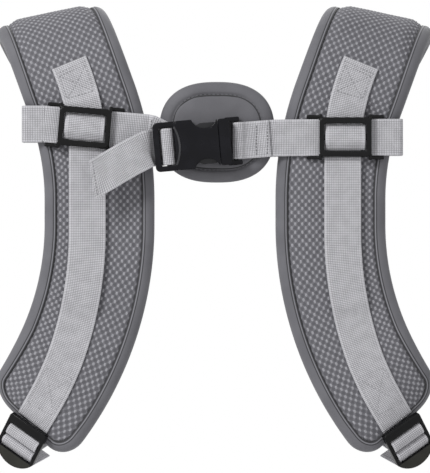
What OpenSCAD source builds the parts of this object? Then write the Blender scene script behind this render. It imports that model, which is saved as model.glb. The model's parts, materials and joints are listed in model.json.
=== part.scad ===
// Shoulder harness of a soft baby carrier, as worn: two padded shoulder straps that arch over the
// shoulders, and a chest strap across the back that slides up and down on both.
// Millimetres. +X is the wearer's right, +Y the wearer's front, +Z up. The origin lies midway
// between the shoulders, on the axis that both pads arch round.
// Shapes sewn flat are given as flat points [x, z] and a height h over the pad's mid-surface;
// bend() lays them over the shoulder and round the wearer's side.

/* [Shoulder pads] */
// Width of each pad over the back
pad_w = 75; // [70:1:80]
// Thickness of each pad, covers included
pad_t = 14; // [12:1:17]
// Clear space between the pads where they come closest
pad_gap = 82.4; // [80:0.2:110]
// Depth of that narrowest place below the shoulder axis
narrow_drop = 86.5; // [82:0.5:90]
// Length of the straight stretch at the narrowest place
pad_straight = 17; // [10:1:24]
// Sweep radius from there up to the shoulder
upper_sweep_r = 200; // [180:5:220]
// Angle of the upper sweep
upper_sweep = 20; // [18:1:22]
// Sweep radius from there down to the wearer's side
lower_sweep_r = 210; // [195:5:230]
// Angle of the lower sweep
lower_sweep = 41; // [38:1:42]
// Radius over the shoulder, to the pad's outer face
shoulder_r = 55; // [48:1:65]
// Straight length between the upper sweep and the shoulder
shoulder_lead = 8; // [6:1:14]
// Slope of the shoulders, outer side down
shoulder_slope = 12; // [8:1:16]
// Length of pad that runs down the wearer's front
front_run = 60; // [45:5:90]
// Width of the pad's front end
front_w = 50; // [40:1:60]
// Radius of the curl round the wearer's side
side_curl_r = 55; // [50:5:80]
// Distance from the pad's lower end to where that curl starts
curl_reach = 38; // [32:1:40]
// Length over which the pad turns back to the front, beyond the shoulder's top
front_turn = 60; // [50:1:70]
// Distance short of the shoulder's top at which that turn starts
turn_lead = 5; // [0:1:10]
// Corner radius of the lower end, inner corner
corner_in = 16; // [12:1:20]
// Corner radius of the lower end, outer corner
corner_out = 21; // [18:1:24]

/* [Covers] */
// Thickness of the mesh face cover
face_t = 2; // [1.5:0.1:2.5]
// Thickness of the back lining
lining_t = 1.6; // [1:0.1:2.2]
// Width of the binding on each face
binding_w = 8.5; // [7:0.5:10]
// Thickness of the binding
binding_t = 1.2; // [0.8:0.1:1.4]

/* [Webbing] */
// Width of all webbing
web_w = 25; // [22:0.5:26]
// Thickness of all webbing
web_t = 1.2; // [1:0.1:1.4]
// Gap between pieces that slide or turn on each other
fit = 0.3; // [0.25:0.05:0.4]
// Gap between pieces sewn or held together
seam = 0.15; // [0.1:0.01:0.2]
// Distance of the strap's straight part outward of the pad's middle
strap_shift = 8.1; // [6:0.1:9]
// Straight strap above the pad's straight stretch
strap_above = 35.5; // [30:0.5:36]
// Straight strap below the pad's straight stretch
strap_below = 5; // [3:0.5:8]
// Distance of the strap's lower end above the pad's
strap_end_up = 8; // [6:0.1:10]
// Distance of its lower end inward of the pad's middle
strap_end_in = 3.4; // [2:0.1:5]
// Length of strap beyond the upper sweep
strap_end_top = 24; // [20:1:28]
// Length over which the strap rises off the pad, above its sewn bottom
strap_rise = 12; // [10:1:14]
// Length over which it comes down again, below its sewn top
strap_fall = 8; // [7:1:10]
// Length of strap sewn down at its top
strap_sewn_top = 18; // [16:0.5:24]
// Length of strap sewn down at its bottom
strap_sewn_end = 76; // [70:1:78]

/* [Sliders] */
// Side play of the strap inside a slider's window
slider_play = 1.9; // [1.7:0.1:2.2]
// Height of a slider's window
slider_window_h = 18.5; // [16:0.5:20]
// Width of a slider's bars
slider_bar = 4.2; // [3.5:0.1:4.6]
// Thickness of a slider's frame
slider_t = 2.8; // [2.4:0.1:3.2]
// Height and thickness of a hook arm
hook_t = 2.2; // [1.8:0.1:3]
// Reach of a hook arm beyond the frame's side
hook_reach = 8.5; // [6:0.5:9]

/* [Chest strap] */
// Depth of the chest strap's middle below the shoulder axis, at its highest place
chest_drop = 32; // [32:0.5:33]
// Distance that the chest strap slides down
chest_travel = 96; // [60:1:97]
// Clear space between a pad's edges and the chest webbing looped round it
loop_room = 0.9; // [0.6:0.1:1.4]
// Length of the right webbing folded back over itself, from the plug's bar
fold_back = 23; // [18:1:26]
// Distance of the left webbing's inner end from the harness's middle
left_end = 27; // [24:1:30]
// Rise of the left webbing's outer end over the chest strap's level
left_rise = 5.5; // [0:0.5:6]
// Drop of the right webbing under that level
right_drop = 3.5; // [0:0.5:4]
// Drop of the plug's bar under that level
bar_drop = 6; // [4:0.5:8]

/* [Buckle] */
// Tilt of the buckle, left end down
buckle_tilt = 5; // [0:0.5:6]
// Thickness of the buckle
buckle_t = 11.5; // [11:0.1:12.5]
// Length of the socket, ladder-lock end included
socket_len = 44.2; // [43:0.2:46]
// Wall of the socket
socket_wall = 2; // [1.6:0.1:2.2]

/* [Back pad] */
// Width of the oval pad behind the buckle
oval_w = 78.6; // [70:0.2:79]
// Height of the oval pad
oval_h = 68.6; // [60:0.2:76]
// Distance of its middle to the right of the harness's middle
oval_shift = 1.3; // [0:0.1:1.6]
// Thickness of its covers
oval_cover_t = 1.2; // [0.8:0.1:1.6]
// Roundness of its outline: 1 is an ellipse, less is squarer
oval_round = 0.8; // [0.7:0.02:1]

/* [Adjusters] */
// Length of an adjuster from top bar to tab
lock_len = 34.4; // [33:0.2:37]
// Width of an adjuster's top bar
lock_bar = 6.4; // [5.6:0.1:7]
// Thickness of an adjuster's frame
lock_t = 4; // [3.6:0.1:4.4]
// Width of an adjuster's side rails
lock_rail = 2.3; // [2:0.1:3]
// Radius of the two round bars that the webbing turns on
lock_pin_r = 1.7; // [1.4:0.1:1.8]
// Length of waist webbing behind an adjuster
waist_len = 38; // [25:1:50]

/* [Hidden] */

// Colours
mesh_grey = "#55565a";
binding_grey = "#6c6d70";
webbing_grey = "#b9b9bb";
plastic_black = "#1b1b1c";
foam_white = "#e8e6dc";

// ---- Levels over the pad's mid-surface, outward -------------------------------------------
half_t = pad_t / 2;
mid_r = shoulder_r - half_t;              // arch radius of the mid-surface
toe_h = half_t + fit;                     // underside of the sliders' hook toes
toe_t = 1;                                // thickness of a hook toe
chest_h = toe_h + toe_t + seam;           // underside of the chest webbing
strap_h = chest_h + web_t + fit;          // underside of the strap where the chest strap passes
sewn_h = half_t + fit;                    // underside of the strap where it is sewn down
slider_h = strap_h + web_t + fit;         // underside of the sliders
buckle_h = chest_h + web_t + fit;         // back of the buckle
back_h = half_t + loop_room;              // distance of the rear run behind the mid-surface

// ---- Paths: [length, turn outward in degrees, rows]; a pose is [x, z, heading] -----------
function step(p, k, d) = k == 0
    ? [p[0] + d * sin(p[2]), p[1] + d * cos(p[2]), p[2]]
    : let (a = p[2] + k * d, r = 180 / PI / k)
      [p[0] + r * (cos(p[2]) - cos(a)), p[1] + r * (sin(a) - sin(p[2])), a];
function pose_at(segs, p, s, i = 0) =
    (s <= segs[i][0] || i == len(segs) - 1)
        ? step(p, segs[i][1] / segs[i][0], s)
        : pose_at(segs, step(p, segs[i][1] / segs[i][0], segs[i][0]), s - segs[i][0], i + 1);
function beside(pose, v) = [pose[0] + v * cos(pose[2]), pose[1] - v * sin(pose[2])];
function total(segs, n) = n == 0 ? 0 : segs[n - 1][0] + total(segs, n - 1);
function arc_len(r, angle) = r * angle * PI / 180;
function smooth(t) = let (c = max(0, min(1, t))) c * c * (3 - 2 * c);
function dot2(a, b) = a[0] * b[0] + a[1] * b[1];

// ---- The pad's flat shape ------------------------------------------------------------------
pad_x = pad_gap / 2 + pad_w / 2;
straight_low = -narrow_drop - pad_straight / 2;
straight_high = -narrow_drop + pad_straight / 2;
arch_len = PI * mid_r;
rising_len = shoulder_lead + arch_len / 2 - turn_lead;
pad_path = [
    [arc_len(lower_sweep_r, lower_sweep), lower_sweep, 22],
    [pad_straight, 0, 1],
    [arc_len(upper_sweep_r, upper_sweep), upper_sweep, 4],
    [rising_len, 0, 13],
    [front_turn, -upper_sweep, 8],
    [shoulder_lead + arch_len + front_run - rising_len - front_turn, 0, 6]
];
pad_start = [
    pad_x + lower_sweep_r * (1 - cos(lower_sweep)),
    straight_low - lower_sweep_r * sin(lower_sweep),
    -lower_sweep
];
pad_len = total(pad_path, len(pad_path));
taper_from = total(pad_path, 4);
function pad_pose(s) = pose_at(pad_path, pad_start, s);
function corner_cut(s, r) = s < r ? r - sqrt(r * r - (r - s) * (r - s)) : 0;
function full_half(s) =
    pad_w / 2 + (front_w - pad_w) / 2 * smooth((s - taper_from) / (pad_len - taper_from));
function edge_in(s) = beside(pad_pose(s), corner_cut(s, corner_in) - full_half(s));
function edge_out(s) = beside(pad_pose(s), full_half(s) - corner_cut(s, corner_out));

// Outermost x of a pad at height z, over the back
function pad_outer_x(z) = z > straight_high
    ? pad_x + upper_sweep_r - sqrt(pow(upper_sweep_r - pad_w / 2, 2) - pow(z - straight_high, 2))
    : z < straight_low
    ? pad_x + lower_sweep_r - sqrt(pow(lower_sweep_r - pad_w / 2, 2) - pow(z - straight_low, 2))
    : pad_x + pad_w / 2;

// ---- Laying flat shapes on the wearer ------------------------------------------------------
shoulder_dir = [sin(shoulder_slope), cos(shoulder_slope)];
shoulder_line = dot2(pad_pose(total(pad_path, 3) + shoulder_lead), shoulder_dir);
curl_angle = 30;                          // the curl's direction, below the horizontal
curl_dir = [cos(curl_angle), -sin(curl_angle)];
curl_line = dot2(pad_start, curl_dir) - curl_reach;
function curl_at(p) = max(0, dot2(p, curl_dir) - curl_line) / side_curl_r * 180 / PI;
function arched(p, h, d) = let (
        a = min(d / mid_r * 180 / PI, 180),
        past = max(0, d - arch_len),
        foot = p - shoulder_dir * d,
        out = (mid_r + h) * sin(a) - past
    ) [foot[0] + shoulder_dir[0] * out, -(mid_r + h) * cos(a), foot[1] + shoulder_dir[1] * out];
function curled(p, h, a) = let (
        foot = p - curl_dir * (a * PI / 180 * side_curl_r),
        out = (side_curl_r + h) * sin(a)
    ) [
        foot[0] + curl_dir[0] * out,
        side_curl_r - mid_r - (side_curl_r + h) * cos(a),
        foot[1] + curl_dir[1] * out
    ];
function bend(p, h) = let (d = dot2(p, shoulder_dir) - shoulder_line, a = curl_at(p))
    d > 0 ? arched(p, h, d) : a > 0 ? curled(p, h, a) : [p[0], -mid_r - h, p[1]];

// ---- The pad's rows and edges --------------------------------------------------------------
function even(from, to, n) = [for (i = [1:n]) from + (to - from) * i / n];
corner_most = max(corner_in, corner_out);
pad_rows = concat(
    [for (i = [0:8]) corner_most * (1 - cos(i * 11.25))],
    even(corner_most, pad_path[0][0], pad_path[0][2] - 8),
    [for (i = [1:len(pad_path) - 1])
        each even(total(pad_path, i), total(pad_path, i + 1), pad_path[i][2])]
);
last_row = len(pad_rows) - 1;
chain = concat(
    [for (j = [last_row:-1:0]) edge_in(pad_rows[j])],
    [for (j = [0:last_row]) edge_out(pad_rows[j])]
);
function inward(k) = k == 0 ? beside([0, 0, pad_pose(pad_len)[2]], 1)
    : k == len(chain) - 1 ? -beside([0, 0, pad_pose(pad_len)[2]], 1)
    : let (t = chain[k + 1] - chain[k - 1]) [-t[1], t[0]] / norm(t);
chain_in = [for (k = [0:len(chain) - 1]) inward(k)];
function rim(k, q, h) = bend(chain[k] + chain_in[k] * q, h);

// ---- Solids made of rings ------------------------------------------------------------------
// Each ring has cols points along its outer face, edges points down one side, cols back along
// its inner face and edges points up the other side. Both faces are split the same way.
module skin(rings, cols, edges = 0) {
    n = 2 * (cols + edges);
    last = len(rings) - 1;
    inner_last = 2 * cols + edges - 1;
    ladder = [for (i = [0:cols - 2]) [i, i + 1, inner_last - i - 1, inner_last - i]];
    sides = edges == 0 ? [] : [
        [for (i = [cols - 1:cols + edges]) i],
        concat([for (i = [inner_last:n - 1]) i], [0])
    ];
    cap = concat(ladder, sides);
    polyhedron(
        points = [for (r = rings) each r],
        faces = concat(
            cap,
            [for (f = cap) [for (i = [len(f) - 1:-1:0]) f[i] + last * n]],
            [for (j = [0:last - 1], i = [0:n - 1])
                let (b = (i + 1) % n, a0 = j * n + i, b0 = j * n + b, a1 = a0 + n, b1 = b0 + n)
                each i < cols + edges ? [[a0, a1, b1], [a0, b1, b0]] : [[a0, a1, b0], [a1, b1, b0]]]
        ),
        convexity = 8
    );
}

// A slab of the pad between two heights; its edges follow profile, a list of [inset, h]
module pad_slab(profile, cols) {
    first = profile[0];
    last = profile[len(profile) - 1];
    mids = [for (i = [1:1:len(profile) - 2]) profile[i]];
    skin([for (j = [0:last_row]) let (a = last_row - j, b = last_row + 1 + j) concat(
        [for (i = [0:cols - 1]) between(a, b, first, i / (cols - 1))],
        [for (m = mids) rim(b, m[0], m[1])],
        [for (i = [cols - 1:-1:0]) between(a, b, last, i / (cols - 1))],
        [for (i = [len(mids) - 1:-1:0]) rim(a, mids[i][0], mids[i][1])]
    )], cols, len(mids));
}
function between(a, b, m, t) = bend(
    (chain[a] + chain_in[a] * m[0]) * (1 - t) + (chain[b] + chain_in[b] * m[0]) * t, m[1]);

// A webbing that stands on its edge along line, a list of [x, h] on its left face. Its middle is
// at height chest_z plus what hang, a table of [x, rise], gives
module hung_band(line, hang) {
    function corner(p, up) = [p[0], -mid_r - p[1], chest_z + lookup(p[0], hang) + up * web_w / 2];
    skin([for (i = [0:len(line) - 1]) let (a = line[i], b = a + band_turn(line, i) * web_t)
        [corner(b, -1), corner(b, 1), corner(a, 1), corner(a, -1)]], 2);
}
// A [x, z] outline standing from height h0 to h1 over the back
module plate(h0, h1) {
    translate([0, -mid_r - h0, 0]) rotate([90, 0, 0]) linear_extrude(height = h1 - h0) children();
}
function rounded(x0, x1, z0, z1, r) = [
    for (c = [[x1 - r, z1 - r, 0], [x0 + r, z1 - r, 90], [x0 + r, z0 + r, 180], [x1 - r, z0 + r, 270]])
        for (i = [0:4]) [c[0] + r * cos(c[2] + i * 22.5), c[1] + r * sin(c[2] + i * 22.5)]
];
function box2(x0, x1, z0, z1) = [[x0, z0], [x1, z0], [x1, z1], [x0, z1]];
function arc2(x, y, r, from, to, n) =
    [for (i = [0:n]) let (a = from + (to - from) * i / n) [x + r * cos(a), y + r * sin(a)]];
function reversed(list) = [for (i = [len(list) - 1:-1:0]) list[i]];
// Both sides of a band of thickness web_t whose left side is given, offset to the right
function band_turn(p, i) = let (
        a = p[max(0, i - 1)], b = p[min(len(p) - 1, i + 1)], t = b - a
    ) [t[1], -t[0]] / norm(t);
function band(p) = concat(p, reversed([for (i = [0:len(p) - 1]) p[i] + band_turn(p, i) * web_t]));

// ---- Shoulder strap pieces, wearer's right ------------------------------------------------
lip = binding_w + seam;
module pad_face() {
    color(mesh_grey) pad_slab([[lip, half_t], [lip, half_t - face_t]], 5);
}
module pad_foam() {
    top = half_t - face_t - seam;
    low = half_t - lining_t - seam;
    color(foam_white) pad_slab([
        [0.76 * binding_w, top], [0.36 * binding_w, 0.45 * top],
        [0.36 * binding_w, -0.45 * low], [0.9 * binding_w, -low]
    ], 5);
}
module pad_lining() {
    color(binding_grey) pad_slab([[lip, lining_t - half_t], [lip, -half_t]], 5);
}
module pad_binding() {
    function lip_at(a, t) = [binding_w - (binding_w - t) * cos(a), (half_t - t) * sin(a)];
    angles = [-90, -45, 0, 45, 90];
    color(binding_grey) skin([for (k = [0:len(chain) - 1]) concat(
        [for (a = angles) let (m = lip_at(-a, 0)) rim(k, m[0], m[1])],
        [for (a = reversed(angles)) let (m = lip_at(-a, binding_t)) rim(k, m[0], m[1])]
    )], len(angles));
}

// The strap runs straight over the chest strap's travel, and bends outward above and below
strap_x = pad_x + strap_shift;
strap_top_z = straight_high + strap_above;
strap_low_z = straight_low - strap_below;
strap_foot = beside(pad_pose(strap_end_up), -strap_end_in);
strap_head = beside(pad_pose(total(pad_path, 3) + strap_end_top), 0);
function run_turn(p, z) = 2 * atan((p[0] - strap_x) / abs(p[1] - z));
function run_r(p, z) = (pow(p[0] - strap_x, 2) + pow(p[1] - z, 2)) / (2 * (p[0] - strap_x));
foot_turn = run_turn(strap_foot, strap_low_z);
head_turn = run_turn(strap_head, strap_top_z);
foot_len = arc_len(run_r(strap_foot, strap_low_z), foot_turn);
head_len = arc_len(run_r(strap_head, strap_top_z), head_turn);
strap_path = [[foot_len, foot_turn, 20], [strap_top_z - strap_low_z, 0, 2], [head_len, head_turn, 12]];
strap_start = [strap_foot[0], strap_foot[1], -foot_turn];
strap_len = total(strap_path, 3);
function strap_level(s) = sewn_h + (strap_h - sewn_h)
    * smooth((s - strap_sewn_end) / strap_rise)
    * smooth((strap_len - strap_sewn_top - s) / strap_fall);
module strap() {
    rows = concat([0], [for (i = [0:2])
        each even(total(strap_path, i), total(strap_path, i + 1), strap_path[i][2])]);
    color(webbing_grey) skin([for (s = rows) let (
            p = pose_at(strap_path, strap_start, s), h = strap_level(s),
            a = beside(p, -web_w / 2), b = beside(p, web_w / 2)
        ) [bend(a, h + web_t), bend((a + b) / 2, h + web_t), bend(b, h + web_t),
           bend(b, h), bend((a + b) / 2, h), bend(a, h)]], 3);
}

// Adjuster frame of reference: x along its bars, z up towards the pad, y inward.
// It turns about the rounded back corner of its top bar.
lock_h = sewn_h + web_t + fit + lock_t / 2;
pivot_back = 1;                           // pivot's depth behind the middle of the top bar
pivot_up = lock_bar / 2 - 1;              // pivot's height over the middle of the top bar
module at_adjuster() {
    translate(bend(strap_foot, lock_h))
        rotate(a = curl_at(strap_foot), v = [-curl_dir[1], 0, curl_dir[0]])
            rotate([0, -foot_turn, 0])
                translate([0, 0, -lock_bar / 2]) children();
}
lock_half = web_w / 2 + fit + lock_rail;
loop_pin_z = -lock_bar / 2 - 6.4;
waist_pin_z = loop_pin_z - 7.1;
tab_z = -lock_bar / 2 - 19;
module facing(y0, y1) {
    translate([0, y1, 0]) rotate([90, 0, 0]) linear_extrude(height = y1 - y0) children();
}
module adjuster() {
    low_z = lock_bar / 2 - lock_len;
    tab_r = (lock_half * lock_half + pow(tab_z - low_z, 2)) / (2 * (tab_z - low_z));
    color(plastic_black) union() {
        difference() {
            facing(-lock_t / 2, lock_t / 2) union() {
                polygon(rounded(-lock_half, lock_half, tab_z, lock_bar / 2, 1.5));
                intersection() {
                    translate([0, low_z + tab_r]) circle(r = tab_r, $fn = 96);
                    polygon(box2(-lock_half, lock_half, low_z, tab_z + 1));
                }
            }
            facing(-lock_t, lock_t)
                polygon(rounded(lock_rail - lock_half, lock_half - lock_rail,
                                tab_z, -lock_bar / 2, 0.8));
            facing(0.5, lock_t) polygon(box2(-web_w / 2 - fit, web_w / 2 + fit, low_z, tab_z + 0.1));
            // rounds the top bar's back corner about the pivot
            difference() {
                translate([-lock_half - 1, 1, pivot_up]) cube([2 * lock_half + 2, 2, 2]);
                translate([-lock_half - 2, pivot_back, pivot_up]) rotate([0, 90, 0])
                    cylinder(r = 1, h = 2 * lock_half + 4, $fn = 32);
            }
        }
        for (z = [loop_pin_z, waist_pin_z])
            translate([-lock_half + 0.5, 0, z]) rotate([0, 90, 0])
                cylinder(r = lock_pin_r, h = 2 * lock_half - 1, $fn = 32);
    }
}
// Webbing bands round the adjuster's pins: outlines in [z, -y], extruded along x
module across(outline) {
    rotate([180, -90, 0]) linear_extrude(height = web_w, center = true) polygon(outline);
}
pin_turn_r = lock_pin_r + seam;           // inner radius of webbing round a pin
module adjuster_loop() {
    under = -lock_t / 2 - fit - web_t;    // inner face of the strap under the top bar
    color(webbing_grey) across(band(concat(
        [[lock_bar / 2 - 1.2, under], [-lock_bar / 2 - 0.5, under],
         [-lock_bar / 2 - 2.8, under / 2 + 0.5], [loop_pin_z + 1.6, pin_turn_r - 0.7]],
        arc2(loop_pin_z, 0, pin_turn_r, 90, 270, 8),
        [[loop_pin_z + 4, -pin_turn_r]]
    )));
}
module waist_webbing() {
    color(webbing_grey) across(band(concat(
        [[waist_pin_z + pin_turn_r + 2, -waist_len], [waist_pin_z + pin_turn_r, -7]],
        arc2(waist_pin_z, 0, pin_turn_r, 0, 135, 7),
        [[tab_z, -web_t - 1], [tab_z - 3, -4.5], [tab_z - 4.5, -11], [tab_z - 6, -0.9 * waist_len]]
    )));
}

// ---- Sliders ---------------------------------------------------------------------------------
chest_z = -chest_drop;
window_half = web_w / 2 + slider_play;
slider_x = strap_x + slider_play - 0.1;
slider_half = window_half + slider_bar - 0.9;
slider_half_h = slider_window_h / 2 + slider_bar;
hook_z = web_w / 2 + 0.4;
module slider() {
    color(plastic_black) union() {
        difference() {
            plate(slider_h, slider_h + slider_t)
                polygon(rounded(-slider_half, slider_half, -slider_half_h, slider_half_h, 3.5));
            plate(slider_h - 1, slider_h + slider_t + 1)
                polygon(rounded(-window_half, window_half,
                                -slider_window_h / 2, slider_window_h / 2, 1.5));
        }
        plate(slider_h, slider_h + centre_bar_t)
            polygon(box2(-window_half - 1, window_half + 1, -centre_bar_half, centre_bar_half));
        for (sx = [0, 1], sz = [0, 1]) mirror([sx, 0, 0]) mirror([0, 0, sz]) hook_arm();
    }
}
centre_bar_t = 2;
centre_bar_half = 2;
module hook_arm() {
    near = window_half + 1.4;
    far = slider_half + hook_reach;
    plate(slider_h, slider_h + hook_t) polygon(rounded(
        near, slider_half + 0.3, slider_half_h - slider_bar / 2, hook_z + hook_t + 0.4, 0.6));
    plate(toe_h, slider_h + hook_t)
        polygon(rounded(near, slider_half + 0.3, hook_z, hook_z + hook_t + 0.4, 0.6));
    plate(toe_h, chest_h + web_t + fit) polygon(rounded(near, far, hook_z, hook_z + hook_t, 0.6));
    plate(toe_h, toe_h + toe_t)
        polygon(rounded(slider_half + 1.5, far, hook_z - 3, hook_z + 1, 0.6));
}
// The strap where it rises through the window and over the centre bar: [z, h]
module slider_webbing() {
    base = strap_h + web_t + fit;
    half = slider_window_h / 2 - 0.5;
    over = base + centre_bar_t + seam;
    color(webbing_grey) translate([0, -mid_r, 0]) across(band([
        [half, base], [half - 2.4, base + 0.9], [centre_bar_half + 0.7, over],
        [-centre_bar_half - 0.7, over], [2.4 - half, base + 0.9], [-half, base]
    ]));
}

// ---- Chest webbing: outlines are [x, h] ------------------------------------------------------
fold_r = 2;                               // inner radius of the webbing's folds
fold_x = pad_gap / 2 - loop_room;         // where the left rear run turns forward
bar_x = 14.6;                             // the plug's bar, right of the harness's middle
bar_r = 1.6;
bar_turn_r = bar_r + seam;
bar_h = chest_h + web_t + bar_turn_r;
oval_back = 3;                            // depth of the oval pad's back
// Outboard fold round the pad's edge, from the front run to the rear run, at height up
function around_pad(up) = let (
        top = chest_z + up + web_w / 2, low = chest_z + up - chest_travel - web_w / 2,
        x = max(pad_outer_x(top), pad_outer_x(low)) + loop_room - fold_r
    ) concat(
        arc2(x, chest_h - fold_r, fold_r + web_t, 90, 0, 4),
        arc2(x, fold_r - back_h, fold_r + web_t, 0, -90, 4)
    );
// How the webbings hang: from the loops, across the sliders, and down to the buckle's two ends
right_hang = [[bar_x, -bar_drop], [pad_gap / 2, -right_drop - 0.5], [strap_x, -right_drop]];
pad_out = pad_x + pad_w / 2;
left_hang = [[left_end, -bar_drop - 3.5], [left_end + 18, -0.5], [pad_out, left_rise]];
left_tilt = atan((left_rise + 0.5) / (pad_out - left_end - 18));
module right_slider_place() {
    translate([slider_x, 0, chest_z - right_drop]) children();
}
module left_slider_place() {
    left() translate([slider_x, 0, chest_z + lookup(slider_x, left_hang)])
        rotate([0, -left_tilt, 0]) children();
}
module right_chest_webbing() {
    top = chest_h + web_t;
    rear = -oval_back - seam - web_t;
    color(webbing_grey) hung_band(concat(
        [[bar_x + fold_back, top + seam], [bar_x + 0.35 * fold_back, top + seam],
         [bar_x + 3, bar_h + 0.8 * bar_turn_r]],
        arc2(bar_x, bar_h, bar_turn_r, 75, 270, 10),
        [[pad_gap / 2, top], [strap_x, top]],
        around_pad(-right_drop),
        [[strap_x, -back_h - web_t], [pad_gap / 2 + 1, -back_h - web_t],
         [pad_gap / 2 - 3.5, rear], [bar_x + 11, rear]]
    ), right_hang);
}
module left_chest_webbing() {
    joined = chest_h - seam - web_t;
    top = chest_h + web_t;
    color(webbing_grey) left() hung_band(concat(
        [[left_end, top], [left_end + 18, top], [pad_out, top]],
        around_pad(left_rise),
        [[pad_out, -back_h - web_t], [left_end + 18, -back_h - web_t]],
        arc2(fold_x + fold_r, fold_r - back_h, fold_r + web_t, -90, -180, 4),
        arc2(fold_x - web_t - 0.6, joined - 0.6, 0.6, 0, 90, 2),
        [[fold_x - 8, joined]]
    ), left_hang);
}

// ---- Buckle: it hangs from the plug's bar, tilted about it ------------------------------------
bar_z = chest_z - bar_drop;
module buckle_frame() {
    translate([bar_x, 0, bar_z]) rotate([0, -buckle_tilt, 0]) translate([-bar_x, 0, 0]) children();
}
buckle_top = buckle_h + buckle_t;
buckle_half = web_w / 2 + 4.2;
socket_right = 2.7;
socket_left = socket_right - socket_len;
body_left = socket_left + 14.3;
end_low = buckle_h + 1.7;                 // underside of the ladder-lock end
end_top = buckle_h + 7.2;
inner_bar_x = socket_left + 9.3;
inner_bar_half = 1.6;
inner_bar_low = buckle_h + 3;
inner_bar_top = buckle_h + 5.4;
cavity_half = buckle_half - 2.3;
cavity_low = buckle_h + socket_wall;
cavity_top = buckle_top - socket_wall;
notch_r = 9;
notch_x = socket_right - 8.9;
notch_depth = 6.4;
module buckle_socket() {
    color(plastic_black) buckle_frame() union() {
        difference() {
            plate(buckle_h, buckle_top)
                polygon(rounded(body_left, socket_right, -buckle_half, buckle_half, 2.5));
            plate(cavity_low, cavity_top)
                polygon(box2(body_left + 5, socket_right + 1, -cavity_half, cavity_half));
            for (side = [-1, 1])
                translate([notch_x, 1 - mid_r - buckle_h, side * (buckle_half + notch_r - notch_depth)])
                    rotate([90, 0, 0]) cylinder(r = notch_r, h = buckle_t + 2, $fn = 64);
        }
        difference() {
            plate(end_low, end_top)
                polygon(rounded(socket_left, body_left + 3, -buckle_half, buckle_half, 3));
            plate(end_low - 1, end_top + 1)
                polygon(rounded(socket_left + 4.1, body_left, -web_w / 2 - 0.5, web_w / 2 + 0.5, 1));
        }
        plate(inner_bar_low, inner_bar_top) polygon(box2(
            inner_bar_x - inner_bar_half, inner_bar_x + inner_bar_half, -web_w / 2 - 1, web_w / 2 + 1));
    }
}
prong_low = cavity_low + 1.2;
prong_top = cavity_top - 1.2;
knuckle_x = socket_right + 2.5;
knuckle_z = 9.2;
knuckle_r = 2;
plate_left = socket_right + 0.2;
plate_right = bar_x - bar_turn_r - web_t - 1;
module buckle_plug() {
    color(plastic_black) buckle_frame() union() {
        difference() {
            plate(buckle_h + 0.4, buckle_top - 0.5)
                polygon(rounded(plate_left, plate_right, 1 - buckle_half, buckle_half - 1, 1.5));
            for (side = [-1, 1]) {
                translate([knuckle_x, -mid_r - prong_low + fit, side * knuckle_z]) rotate([90, 0, 0])
                    cylinder(r = knuckle_r + fit, h = prong_top - prong_low + 2 * fit, $fn = 48);
                plate(prong_low - fit, prong_top + fit) polygon(box2(
                    plate_left - 1, knuckle_x, side * knuckle_z - 2, side * knuckle_z + 2));
            }
        }
        plate(prong_low, prong_top) polygon(rounded(plate_left - 15, plate_left + 1, -3.2, 3.2, 1.2));
        for (side = [0, 1]) mirror([0, 0, side]) plate(buckle_h, buckle_h + 4.4)
            polygon(rounded(plate_right - 3, bar_x + 3, web_w / 2 + 0.7, buckle_half - 0.4, 1));
    }
    color(plastic_black) translate([bar_x, -mid_r - bar_h, bar_z - web_w / 2 - 1.4])
        cylinder(r = bar_r, h = web_w + 2.8, $fn = 32);
}
// One prong: a round root in the plug, a neck, and a thumb tab that shows in the socket's notch
module prong() {
    tip = plate_left - 22;
    tab = cavity_half - 0.4;
    plate(prong_low, prong_top) polygon([
        [knuckle_x, knuckle_z - 1.5], [knuckle_x, knuckle_z + 1.5],
        [socket_right - 1.2, knuckle_z + 1.5], [socket_right - 2.6, tab], [socket_right - 12, tab],
        [socket_right - 14.5, tab - 1.2], [tip + 1.5, tab - 1.2], [tip, tab - 2.6],
        [tip, tab - 4.4], [tip + 6, knuckle_z - 2], [0, knuckle_z - 1.5]
    ]);
    translate([knuckle_x, -mid_r - prong_low, knuckle_z]) rotate([90, 0, 0])
        cylinder(r = knuckle_r, h = prong_top - prong_low, $fn = 48);
}
module upper_prong() {
    color(plastic_black) buckle_frame() prong();
}
module lower_prong() {
    color(plastic_black) buckle_frame() mirror([0, 0, 1]) prong();
}

// The left webbing's end, threaded over the socket's inner bar and hanging free.
// Route of its middle line, over the buckle's back: [x from the socket's left end, h, z]
tail_route = [
    [13.2, 0.7, 0], [12.6, 3.6, 0], [11.7, 5.9, 0], [9.3, 6.5, 0], [6.9, 5.9, 0], [6.1, 3.6, 0],
    [5.5, 1.9, 0], [4.3, 0.85, 0], [2, 0.8, 0], [-0.9, 0.95, 0], [-2.1, 2.7, 0], [-3.3, 5.8, -0.1],
    [-5.2, 8.2, -0.6], [-9, 9.8, -2.2], [-16.5, 11, -5.4], [-25.5, 11.9, -9.6], [-34.5, 12.8, -14],
    [-43.5, 14, -18.2]
];
tail_cut = [0.14, 0, 1.18];               // slanted end, as a share of the webbing's width
module adjuster_tail() {
    points = [for (p = tail_route) [socket_left + p[0], -mid_r - buckle_h - p[1], p[2]]];
    last = len(points) - 1;
    color(webbing_grey) buckle_frame() skin([for (i = [0:last]) let (
            t = points[min(last, i + 1)] - points[max(0, i - 1)],
            across = cross([0, 1, 0], [t[0], 0, t[2]]),
            side = i == last ? tail_cut : i > 9 ? across / norm(across) : [0, 0, 1],
            face = cross(side, t) / norm(cross(side, t)),
            w = side * web_w / 2, n = face * web_t / 2, c = points[i]
        ) [c - w + n, c + w + n, c + w - n, c - w - n]], 2);
}

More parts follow.
